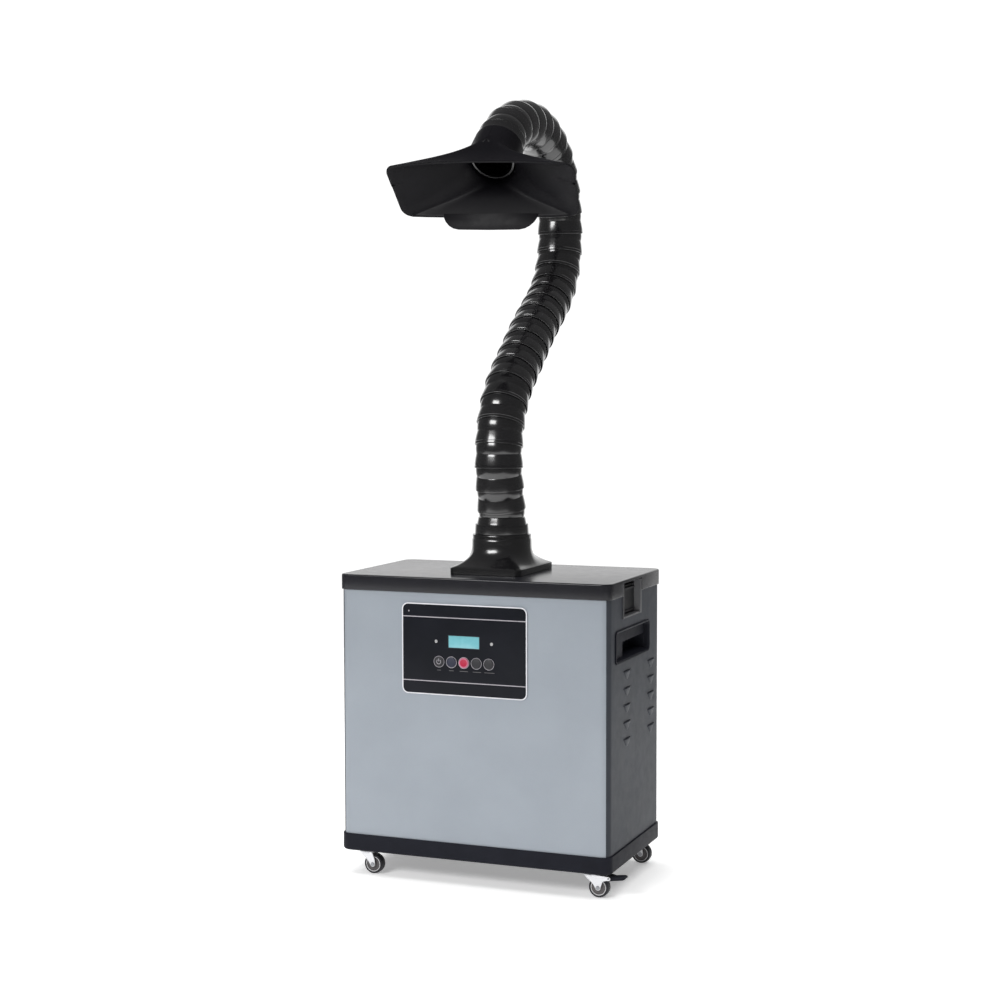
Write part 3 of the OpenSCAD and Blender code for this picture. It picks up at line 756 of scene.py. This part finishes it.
def make_panel():
    bm = bmesh.new()
    plate(bm, PANEL_W, PANEL_H, PANEL_R, PANEL_Y, FRONT_Y, 0.5, "y", (PANEL_X, 0, PANEL_Z))
    panel = piece("panel_face", bm, "panel_black", "cabinet")
    low, high = PANEL_Y - 2, FRONT_Y + 2
    holes = [block_cutter(50.4, 19.4, 1, low, high, "y", (PANEL_X, 0, LCD_Z))]
    for i in range(len(BUTTONS)):
        holes.append(round_cutter(BUTTON_R + 0.1, low, high, "y", (button_x(i), 0, BUTTON_Z), 48))
    carve(panel, holes)
    resmooth(panel)
    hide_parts("control_panel")


def print_panel_and_edge_highlight():
    """A white frame painted as the highlight along the panel's edge, then the stripes, the button
    surrounds, and plain bars in place of words.
    """
    bm = bmesh.new()
    # A thin white frame round the panel: a painted highlight along its edge
    w, h, r = PANEL_W + 1.2, PANEL_H + 1.2, PANEL_R + 0.6
    band(bm, PANEL_X, PANEL_Z, w, h, r, 1.5, PANEL_Y - 0.08, PANEL_Y + 1.6)
    piece("panel_edge_highlight", bm, "painted_edge_highlight", "cabinet")
    sunk = PANEL_Y + 0.3
    bm = bmesh.new()
    for z in (PANEL_Z + 47.5, PANEL_Z - 47.5):
        plate(bm, PANEL_W - 1.8, 1.3, 0.3, PANEL_Y - 0.06, sunk, 0.05, "y", (PANEL_X, 0, z))
    plate(bm, 1.8, 2.2, 0.8, PANEL_Y - 0.05, sunk, 0.05, "y", (PANEL_X - 88, 0, PANEL_Z + 55.5))
    piece("panel_stripes", bm, "print_light", "cabinet")
    surround = [
        (8.5, sunk), (8.5, PANEL_Y - 0.15), (8.2, PANEL_Y - 0.3), (7.85, PANEL_Y - 0.15), (7.85, sunk),
    ]
    bm = bmesh.new()
    for i in range(len(BUTTONS)):
        lathe(bm, surround, steps=48, centre=(button_x(i), 0, BUTTON_Z), axis="y")
    piece("button_surrounds", bm, "print_light", "cabinet")
    bm = bmesh.new()
    for i, w in enumerate((6, 7.5, 13, 13.5, 16)):
        x = button_x(i) + (1 if i > 2 else 0)
        plate(bm, w, 0.9, 0.3, PANEL_Y - 0.04, sunk, 0.04, "y", (x, 0, BUTTON_Z - 12.5))
    piece("panel_marks", bm, "print_dim", "cabinet")


def make_display():
    bm = bmesh.new()
    plate(bm, 50, 19, 1, FRONT_Y - 1.4, FRONT_Y + 8, 0.3, "y", (PANEL_X, 0, LCD_Z))
    display = piece("display_glass", bm, "lcd", "cabinet")
    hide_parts("lcd_display")
    bm = bmesh.new()
    band(bm, PANEL_X, LCD_Z, 50.3, 19.3, 1, 0.8, FRONT_Y - 1.9, FRONT_Y - 1.2)
    piece("display_rim", bm, "key_black", "cabinet")


def make_leds():
    lens = [
        (1.6, FRONT_Y + 2), (2.4, PANEL_Y + 0.1), (2.4, PANEL_Y - 0.2),
        (1.8, PANEL_Y - 0.75), (0.8, PANEL_Y - 1.05), (0.1, PANEL_Y - 1.1),
    ]
    bm = bmesh.new()
    for side in (-1, 1):
        lathe(bm, lens, closed=False, steps=24, centre=(PANEL_X + side * 44, 0, LED_Z), axis="y")
    leds = piece("indicator_lenses", bm, "lens", "cabinet")
    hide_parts("status_leds")


def make_buttons():
    looks = {"down": "key_blue", "set": "key_red"}
    top = FRONT_Y - 3.4
    profile = [
        (7.0, FRONT_Y + 5), (8.8, FRONT_Y + 1.2), (8.8, FRONT_Y + 0.3), (7.6, FRONT_Y + 0.2),
        (7.6, top + 1.0), (7.3, top + 0.35), (6.6, top),
        (6.0, top + 0.15), (3.0, top + 0.4), (0.1, top + 0.45),
    ]
    rim = [(7.45, top + 0.9), (7.35, top + 0.2), (6.6, top - 0.06), (5.6, top + 0.1), (5.5, top + 0.6)]
    for i, name in enumerate(BUTTONS):
        x = button_x(i)
        body = f"button_{name}"
        bm = bmesh.new()
        lathe(bm, profile, closed=False, steps=48, centre=(x, 0, BUTTON_Z), axis="y")
        cap = piece(f"key_{name}", bm, looks.get(name, "key_black"), body)
        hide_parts(body)
        if name == "power":
            bm = bmesh.new()
            draw_power_mark(bm, x, top + 0.3)
            piece("mark_power", bm, "print_light", body)
        if name == "set":
            bm = bmesh.new()
            lathe(bm, rim, steps=48, centre=(x, 0, BUTTON_Z), axis="y")
            piece("rim_set", bm, "key_pink", body)


def draw_power_mark(bm, x, y):
    """A plain on-off mark: an open ring and a bar."""
    rings = []
    for i in range(19):
        a = math.radians(-235 + 290 * i / 18)
        points = []
        for r, d in ((3.6, 0.0), (3.6, -0.25), (2.9, -0.25), (2.9, 0.0)):
            points.append((x + r * math.cos(a), y + d, BUTTON_Z + r * math.sin(a)))
        rings.append(ring_of(bm, points))
    skin(bm, rings)
    bm.faces.new(rings[0])
    bm.faces.new(rings[-1])
    plate(bm, 0.8, 4.2, 0.2, y - 0.25, y, 0.05, "y", (x, 0, BUTTON_Z + 2.6))


def make_handles():
    for side, name in ((-1, "left"), (1, "right")):
        bm = bmesh.new()
        rim = SIDE_X + 2
        shift_y, shift_z = POCKET_Y - HANDLE_Y, POCKET_Z - HANDLE_Z
        loops = [
            (164, 49, 8, SIDE_X, 0, 0),
            (164, 49, 8, rim - 0.8, 0, 0),
            (163.4, 48.4, 7.7, rim - 0.25, 0, 0),
            (162, 47, 7, rim, 0, 0),
            (160, 45.4, 6.8, rim, 0, 0),
            (157.4, 43, 6.4, rim - 0.7, 0, 0),
            (155, 41, 5.8, rim - 2.2, 0, 0),
            (153.6, 39.6, 5.2, rim - 5, 0, 0),
            (153, 39, 5, SIDE_X - 5.2, 0, 0),
            (152.2, 38.2, 4.6, SIDE_X - 6, 0, 0),
            (105, 22.6, 2.4, SIDE_X - 6, shift_y, shift_z),
            (104, 22, 2, SIDE_X - 7, shift_y, shift_z),
            (102, 20, 2, SIDE_X - 30, shift_y, shift_z),
        ]
        placed = [(w, h, r, side * d, dy, dz) for w, h, r, d, dy, dz in loops]
        rings = stack(bm, placed, "x", (0, HANDLE_Y, HANDLE_Z), caps=False)
        bm.faces.new(rings[-1])
        cup = piece(f"handle_cup_{name}", bm, "cabinet_black", "cabinet", angle=40)
        if side > 0:
            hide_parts("side_handles")


def make_latch_trough(side, name):
    bm = bmesh.new()
    rim = SIDE_X + 2.2
    outline = [
        (198.5, -61.8), (rim, -61.8), (rim, -59.6), (206, LATCH_Y0 - 0.4), (201, LATCH_Y0 - 0.2),
        (201, LATCH_Y1 + 0.2), (206, LATCH_Y1 + 0.4), (rim, 19.4), (rim, 24.8), (198.5, 24.8),
    ]
    foot = [(x if x < rim - 1 else rim - 0.4, y) for x, y in outline]
    rows = [
        ring_of(bm, [(side * x, y, z) for x, y in row])
        for row, z in ((foot, 400.2), (outline, 401.2), (outline, 451.6))
    ]
    skin(bm, rows)
    bm.faces.new(rows[0])
    bm.faces.new(rows[-1])
    sill = [(201, LATCH_Y0), (rim - 0.4, -59), (rim - 0.4, 19), (201, LATCH_Y1)]
    low = [ring_of(bm, [(side * x, y, z) for x, y in sill]) for z in (400.4, 403.4)]
    skin(bm, low)
    bm.faces.new(low[0])
    bm.faces.new(low[-1])
    trough = piece(f"latch_trough_{name}", bm, "latch_grey", "cabinet", angle=25)
    soften(trough, 0.6)
    if side > 0:
        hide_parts("latch_bases")


def make_latch_lever(side, name):
    bm = bmesh.new()
    middle, width = (LATCH_Y0 + LATCH_Y1) / 2, LATCH_Y1 - LATCH_Y0
    lever_loops = [
        (width - 2, 38, 1.5, side * 203.0), (width - 1.4, 38.6, 1.8, side * 203.5),
        (width - 1.4, 38.6, 1.8, side * 205.4), (width - 2.6, 37.4, 1.5, side * 206.2),
    ]
    stack(bm, lever_loops, "x", (0, middle, 427.5))
    grip = [
        (width - 17, 3.4, 1, side * 206.0), (width - 17, 3.4, 1, side * 209.2),
        (width - 18.5, 2.4, 0.8, side * 209.9),
    ]
    stack(bm, grip, "x", (0, middle, 441.5))
    for spare, r in ((-0.7, 3.2), (3.2, 1.75)):
        pin_form(bm, (side * 204.5, 0, 408), r, LATCH_Y0 - spare, LATCH_Y1 + spare, 32)
    lever = piece(f"latch_lever_{name}", bm, "latch_dark", f"latch_{name}")
    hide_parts(f"latch_{name}")


def make_latches():
    for side, name in ((-1, "left"), (1, "right")):
        make_latch_trough(side, name)
        make_latch_lever(side, name)


# ---- Arm ----

def ball_centres():
    y, z = 0.0, FIRST_BALL_Z
    centres = [(y, z)]
    for lean in LEAN:
        y += RING_PITCH * math.sin(math.radians(lean))
        z += RING_PITCH * math.cos(math.radians(lean))
        centres.append((y, z))
    return centres


CENTRES = ball_centres()


def along_arm(k):
    lean = LEAN[k] if k < RINGS else NECK_LEAN
    y, z = CENTRES[k]
    return Matrix.Translation((0, y * MM, z * MM)) @ Matrix.Rotation(math.radians(-lean), 4, "X")


def ball_end(zc):
    """The ball's inside and outside, with a rounded rim, from the bore up and back down."""
    inner = BALL_R - 1.95
    points = arc(inner, zc, -14.1, 28, 8)
    rim_in, rim_out = points[-1], arc(BALL_R, zc, 26.6, 26.6, 1)[0]
    points.append(((rim_in[0] * 2 + rim_out[0]) / 3 + 0.2, zc + 16))
    points.append(((rim_in[0] + rim_out[0] * 2) / 3 + 0.2, zc + 16))
    points += arc(BALL_R, zc, 26.6, -13, 10)
    return points


def bell():
    """From the ball down to the open lip: a tapering shoulder, a fine groove and a rolled edge."""
    shoulder = [(34.5, 23.4), (35.0, 20.5), (35.6, 17.0), (36.2, 13.0), (36.65, 9.0)]
    groove = [(36.75, 7.6), (36.4, 7.2), (36.4, 6.8), (36.85, 6.4)]
    lip = arc(0.65, 3.75, 10, -80, 4, 36.35)
    return shoulder + groove + lip


def socket_wall():
    return [(35.5, 3.02), *arc(SOCKET_R, 0, 5.6, 25.1, 5)]


def make_rings():
    bm = bmesh.new()
    lathe(bm, socket_wall() + ball_end(RING_PITCH) + bell(), steps=ARM_STEPS)
    mesh = finish_mesh("arm_ring", bm, SHARP)
    for k in range(RINGS):
        section = k // 2 + 1
        ring = place(f"arm_ring_{k + 1:02d}", mesh, "arm_black")
        ring.matrix_world = along_arm(k)
        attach(ring, f"arm_{section:02d}")
        if k % 2 == 0:
            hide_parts(f"arm_section_{section:02d}")


def make_collar():
    outside = ball_end(FIRST_BALL_Z)
    outside += [
        (35.6, 539.6), (36.2, 537), (36.9, 533.6), (37.5, 530.6), (37.7, 529.9), (39.9, 529.7),
        (40.4, 529.2), (40.5, 527.4), (40.15, 527.1), (40.15, 526.7), (40.5, 526.4),
        (41.1, CUFF_TOP + 1.2), (40.9, CUFF_TOP + 0.4), (38.3, CUFF_TOP + 0.3), (38.3, 482),
    ]
    bm = bmesh.new()
    lathe(bm, [(35.5, 482), (35.5, 528.5)] + outside, steps=ARM_STEPS)
    collar = piece("arm_foot_collar", bm, "arm_black", "collar")
    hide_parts("arm_collar")


def spread_outline(w, h, r, steps=9, extra=8):
    """A rounded rectangle's outline with points along its straight sides too."""
    corners = rounded_outline(w, h, r, steps)
    points = []
    for i, (x, y) in enumerate(corners):
        points.append((x, y))
        if i % (steps + 1) == steps:
            nx, ny = corners[(i + 1) % len(corners)]
            for j in range(1, extra):
                share = j / extra
                points.append((x + (nx - x) * share, y + (ny - y) * share))
    return points


def make_flange():
    """A plate whose whole top sweeps up in a hollow curve and turns into the round cuff."""
    high = COVER_TOP + 10
    plate_rows = [
        (112.8, 144.8, COVER_TOP), (114, 146, COVER_TOP + 0.6), (114, 146, high - 0.6), (113, 145, high),
    ]
    bm = bmesh.new()
    rings = []
    for w, h, z in plate_rows:
        rings.append(ring_of(bm, [(x, y, z) for x, y in spread_outline(w, h, 9)]))
    edge = spread_outline(111.6, 143.6, 8.6)
    turns = [math.atan2(y, x) for x, y in edge]
    for i in range(1, 19):
        t = i / 18
        share = 1 - (1 - t) ** 3
        points = []
        for (x, y), a in zip(edge, turns):
            cx, cy = 45.4 * math.cos(a), 45.4 * math.sin(a)
            points.append((x + (cx - x) * share, y + (cy - y) * share, high + 0.2 + 37.3 * t))
        rings.append(ring_of(bm, points))
    cuff = [
        (44.8, COVER_TOP + 50.8), (44.35, COVER_TOP + 51.3),
        (44.35, COVER_TOP + 51.9), (44.8, COVER_TOP + 52.4),
        (44.8, COVER_TOP + 53.4), (44.35, COVER_TOP + 53.8),
        (44.35, COVER_TOP + 54.4), (44.8, COVER_TOP + 54.8),
        (44.8, CUFF_TOP - 0.8), (44.2, CUFF_TOP), (DUCT_R, CUFF_TOP), (DUCT_R, COVER_TOP),
    ]
    for r, z in cuff:
        rings.append(ring_of(bm, [(r * math.cos(a), r * math.sin(a), z) for a in turns]))
    skin(bm, rings, closed=True)
    flange = piece("arm_foot_flange", bm, "arm_black", "cover", angle=38)
    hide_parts("arm_flange")


# ---- Hood ----

def hood_ring(t):
    """One closed outline of the hood, from the neck's circle at t = 0 to the mouth at t = 1."""
    flare = t ** 1.55
    sharpen = min(1.0, t * 1.3)
    half_top = THROAT_R + (MOUTH_W / 2 - THROAT_R) * flare
    half_low = THROAT_R + (MOUTH_W / 2 - 5 - THROAT_R) * flare
    top = THROAT_R - 4.5 * math.sin(math.pi * t) + (MOUTH_H / 2 - MOUTH_DROP - THROAT_R) * t
    low = -THROAT_R - (MOUTH_H / 2 + MOUTH_DROP - THROAT_R) * t ** 1.4
    r_top = THROAT_R + (12 - THROAT_R) * sharpen
    r_low = THROAT_R + (16 - THROAT_R) * sharpen
    z = NECK_END + (MOUTH_END - NECK_END) * t
    steps, extra = 9, 10
    corners = (
        (half_top, top, r_top, 0), (-half_top, top, r_top, 90),
        (-half_low, low, r_low, 180), (half_low, low, r_low, 270),
    )
    points = []
    for x, y, r, start in corners:
        cx = math.copysign(abs(x) - r, x)
        cy = math.copysign(abs(y) - r, y)
        for i in range(steps + 1):
            a = math.radians(start + 90 * i / steps)
            points.append(Vector((cx + r * math.cos(a), cy + r * math.sin(a), z)))
    spread = []
    for i, p in enumerate(points):
        spread.append(p)
        if i % (steps + 1) == steps:
            q = points[(i + 1) % len(points)]
            spread += [p.lerp(q, j / extra) for j in range(1, extra)]
    for p in spread:
        edge = min(1.0, abs(p.x) / half_top) ** 2
        p.y -= (6.0 if p.y > 0 else -2.5) * edge * t ** 2
    return spread


def make_hood():
    turned = along_arm(RINGS) @ Matrix.Rotation(math.radians(HOOD_TURN), 4, "Z")
    make_skirt(turned)
    make_tab(turned)


def make_skirt(turned):
    bm = bmesh.new()
    rings = []
    for z, r in ((24.4, 35.4), (24.9, 36), (40, 36), (50, 36)):
        rings.append(ring_of(bm, [(p.x * r / THROAT_R, p.y * r / THROAT_R, z) for p in hood_ring(0)]))
    for i in range(19):
        rings.append(ring_of(bm, hood_ring(i / 18)))
    skin(bm, rings)
    skirt = piece("hood_skirt", bm, "hood_black", angle=42)
    thick = skirt.modifiers.new("wall", "SOLIDIFY")
    thick.thickness = 2.2 * MM
    thick.offset = -1
    soften(skirt, 0.6, 50)
    skirt.matrix_world = turned
    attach(skirt, "hood")
    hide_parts("hood")


def make_tab(turned):
    """The rounded tab that carries the hood's lower wall on past its lip."""
    outline = [
        (-75, 5), (-74, -1), (-70, -8), (-64, -14), (-57, -18), (-48, -20), (0, -20.6),
        (48, -20), (57, -18), (64, -14), (70, -8), (74, -1), (75, 5),
    ]
    bm = bmesh.new()
    rows = []
    for depth, shrink in ((0.0, 0.4), (0.3, 0.0), (1.5, 0.0), (1.8, 0.4)):
        narrow = 1 - shrink / 75
        rows.append(ring_of(bm, [(x * narrow, y + (shrink if y < 0 else 0), depth) for x, y in outline]))
    skin(bm, rows)
    bm.faces.new(rows[0])
    bm.faces.new(rows[-1])
    tab = piece("hood_tab", bm, "hood_black", angle=40)
    lower_lip = Matrix.Translation((0, (-MOUTH_DROP - MOUTH_H / 2) * MM, MOUTH_END * MM))
    tab.matrix_world = turned @ lower_lip @ Matrix.Rotation(math.radians(-60), 4, "X")
    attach(tab, "hood")


def make_neck():
    profile = socket_wall()
    profile += [(31, 24), (31, 59), (33.4, 59), (33.4, 24.2), (35.6, 24.2), (36, 23.6), (35.6, 20)]
    profile += bell()[2:]
    bm = bmesh.new()
    lathe(bm, profile, steps=ARM_STEPS)
    neck = piece("hood_neck_ring", bm, "arm_black")
    neck.matrix_world = along_arm(RINGS)
    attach(neck, "neck")
    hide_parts("hood_neck")


# ---- Casters ----

def leg_outline(has_ear):
    points = [(-9.5, 33.4), (10.5, 33.4)]
    if has_ear:
        points += [(16, 33.2), (PEDAL_X - 1, PEDAL_Z + 3)]
        points += arc(3, PEDAL_Z, 75, -75, 5, PEDAL_X)
        points += [(PEDAL_X - 4, PEDAL_Z - 3.4), (19, 24.5)]
    else:
        points += [(12.5, 31), (15.4, 22)]
    points += arc(4, WHEEL_R, 10, -170, 6, TRAIL)
    points += [(4.6, 20), (-5, 28.5)]
    return points


def make_fork(name, x, y):
    bm = bmesh.new()
    half = WHEEL_W / 2
    outline = leg_outline(name in BRAKED)
    for low in (-half - 2.05, half + 0.65):
        rows = [ring_of(bm, [(x + px, y + d, pz) for px, pz in outline]) for d in (low, low + 1.4)]
        skin(bm, rows)
        bm.faces.new(rows[0])
        bm.faces.new(rows[-1])
    crown = [(3.1, 31.2), (10.8, 31.2), (11.4, 31.8), (11.4, 33.6), (10.6, 34.2), (3.1, 34.2)]
    lathe(bm, crown, steps=48, centre=(x, y, 0))
    fork = piece(f"caster_fork_{name}", bm, "zinc", f"fork_{name}")
    soften(fork, 0.35)
    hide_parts(f"fork_{name}")
    bm = bmesh.new()
    axle = [
        (0.1, -half - 3.1), (1.6, -half - 3.1), (3.0, -half - 2.7), (3.2, -half - 2.1), (1.9, -half - 2.1),
        (1.9, half + 2.1), (3.2, half + 2.1), (3.0, half + 2.7), (1.6, half + 3.1), (0.1, half + 3.1),
    ]
    lathe(bm, axle, closed=False, steps=32, centre=(x + TRAIL, y, WHEEL_R), axis="y")
    piece(f"caster_axle_{name}", bm, "screw", f"fork_{name}")


def both_faces(profile):
    """A wheel's profile from its half, given as (radius, distance in from the wheel's face)."""
    half = WHEEL_W / 2
    near = [(r, -half + d) for r, d in profile]
    far = [(r, half - d) for r, d in reversed(profile)]
    return near + far


def make_wheel(name, x, y):
    centre = (x + TRAIL, y, WHEEL_R)
    body = f"wheel_{name}"
    tyre = [(11.6, 0.9), (12.4, 0.15), (13.2, 0.1), (14.2, 0.7), (14.8, 1.8), (15, 3.2)]
    bm = bmesh.new()
    lathe(bm, both_faces(tyre), steps=64, centre=centre, axis="y")
    wheel = piece(f"tyre_{name}", bm, "rubber", body, angle=50)
    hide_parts(body)
    rim = [(10.5, 1.2), (10.8, 0.5), (11.5, 0.5), (11.7, 1.2)]
    bm = bmesh.new()
    lathe(bm, both_faces(rim), steps=64, centre=centre, axis="y")
    piece(f"wheel_rim_{name}", bm, "hub_white", body, angle=50)
    hub = [(2.1, 0.1), (4.6, 0.1), (5.2, 0.5), (5.8, 2), (10, 2), (10.5, 1.2)]
    bm = bmesh.new()
    lathe(bm, both_faces(hub), steps=64, centre=centre, axis="y")
    piece(f"wheel_hub_{name}", bm, "hub_grey", body, angle=40)


def shrink_to(value, centre, by):
    """Moves a value towards a centre, never past it."""
    return value - math.copysign(min(by, abs(value - centre)), value - centre)


def make_pedal(name, x, y):
    half = WHEEL_W / 2 - 0.5
    side = [
        (PEDAL_X + 1, PEDAL_Z - 4.0), (PEDAL_X + 12, PEDAL_Z - 2.4), (PEDAL_X + 21.5, PEDAL_Z - 0.9),
        (PEDAL_X + 24.4, PEDAL_Z + 1.0), (PEDAL_X + 24.8, PEDAL_Z + 3.0), (PEDAL_X + 22.6, PEDAL_Z + 4.5),
        (PEDAL_X + 16, PEDAL_Z + 4.0), (PEDAL_X + 8, PEDAL_Z + 2.8), (PEDAL_X + 2, PEDAL_Z + 4.3),
        (PEDAL_X - 3, PEDAL_Z + 3.3), (PEDAL_X - 4.4, PEDAL_Z), (PEDAL_X - 2.6, PEDAL_Z - 3.5),
    ]
    mid_x, mid_z = PEDAL_X + 8, PEDAL_Z + 0.5
    bm = bmesh.new()
    rows = []
    for d, by in ((-half, 0.4), (-half + 0.4, 0.0), (half - 0.4, 0.0), (half, 0.4)):
        row = [(x + shrink_to(px, mid_x, by), y + d, shrink_to(pz, mid_z, by)) for px, pz in side]
        rows.append(ring_of(bm, row))
    skin(bm, rows)
    bm.faces.new(rows[0])
    bm.faces.new(rows[-1])
    pedal = piece(f"pedal_{name}", bm, "cabinet_black", f"brake_{name}", angle=40)
    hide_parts(f"brake_{name}")
    bm = bmesh.new()
    pin_form(bm, (x + PEDAL_X, y, PEDAL_Z), 1.5, -half - 3.3, half + 3.3, 24)
    piece(f"pedal_pin_{name}", bm, "screw", f"brake_{name}")


def make_casters():
    for name, (x, y) in CASTERS.items():
        make_fork(name, x, y)
        make_wheel(name, x, y)
        if name in BRAKED:
            make_pedal(name, x, y)


# ---- The CAD nodes that show as they are ----

KEPT = {
    # The back takes the sides' charcoal, which is partly painted shade
    "rear_cover": ("charcoal_and_shade", 0.4),
    "display_board": ("board", 0),
    "caster_plates": ("zinc", 0.3),
    "filter_chamber": ("steel", 0),
    "filter_seal": ("foam", 0.8),
    "pre_filter": ("pre_media", 0.5),
    "hepa_filter": ("hepa_media", 0),
    "carbon_filter": ("carbon", 0.5),
    "fan_housing": ("housing", 0.6),
    "impeller": ("steel", 0.3),
    "fan_motor": ("steel", 0.8),
    "power_board": ("board", 0),
    "power_inlet": ("cabinet_black", 0.3),
    "power_switch": ("rocker", 0.3),
    "exhaust_grille": ("cabinet_black", 0.3),
    "cabinet_screws": ("screw", 0.25),
    "flange_screws": ("latch_dark", 0.25),
}


def dress_kept_nodes():
    for name, (material, width) in KEPT.items():
        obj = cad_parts[name]
        if not obj.material_slots:
            obj.data.materials.append(MATERIALS[material])
        for slot in obj.material_slots:
            slot.material = MATERIALS[material]
        if width:
            soften(obj, width, 40)


add_camera()
add_studio()
make_cover()
make_base()
make_shell()
make_panel()
print_panel_and_edge_highlight()
make_display()
make_leds()
make_buttons()
make_handles()
make_latches()
make_flange()
make_collar()
make_rings()
make_neck()
make_hood()
make_casters()
dress_kept_nodes()
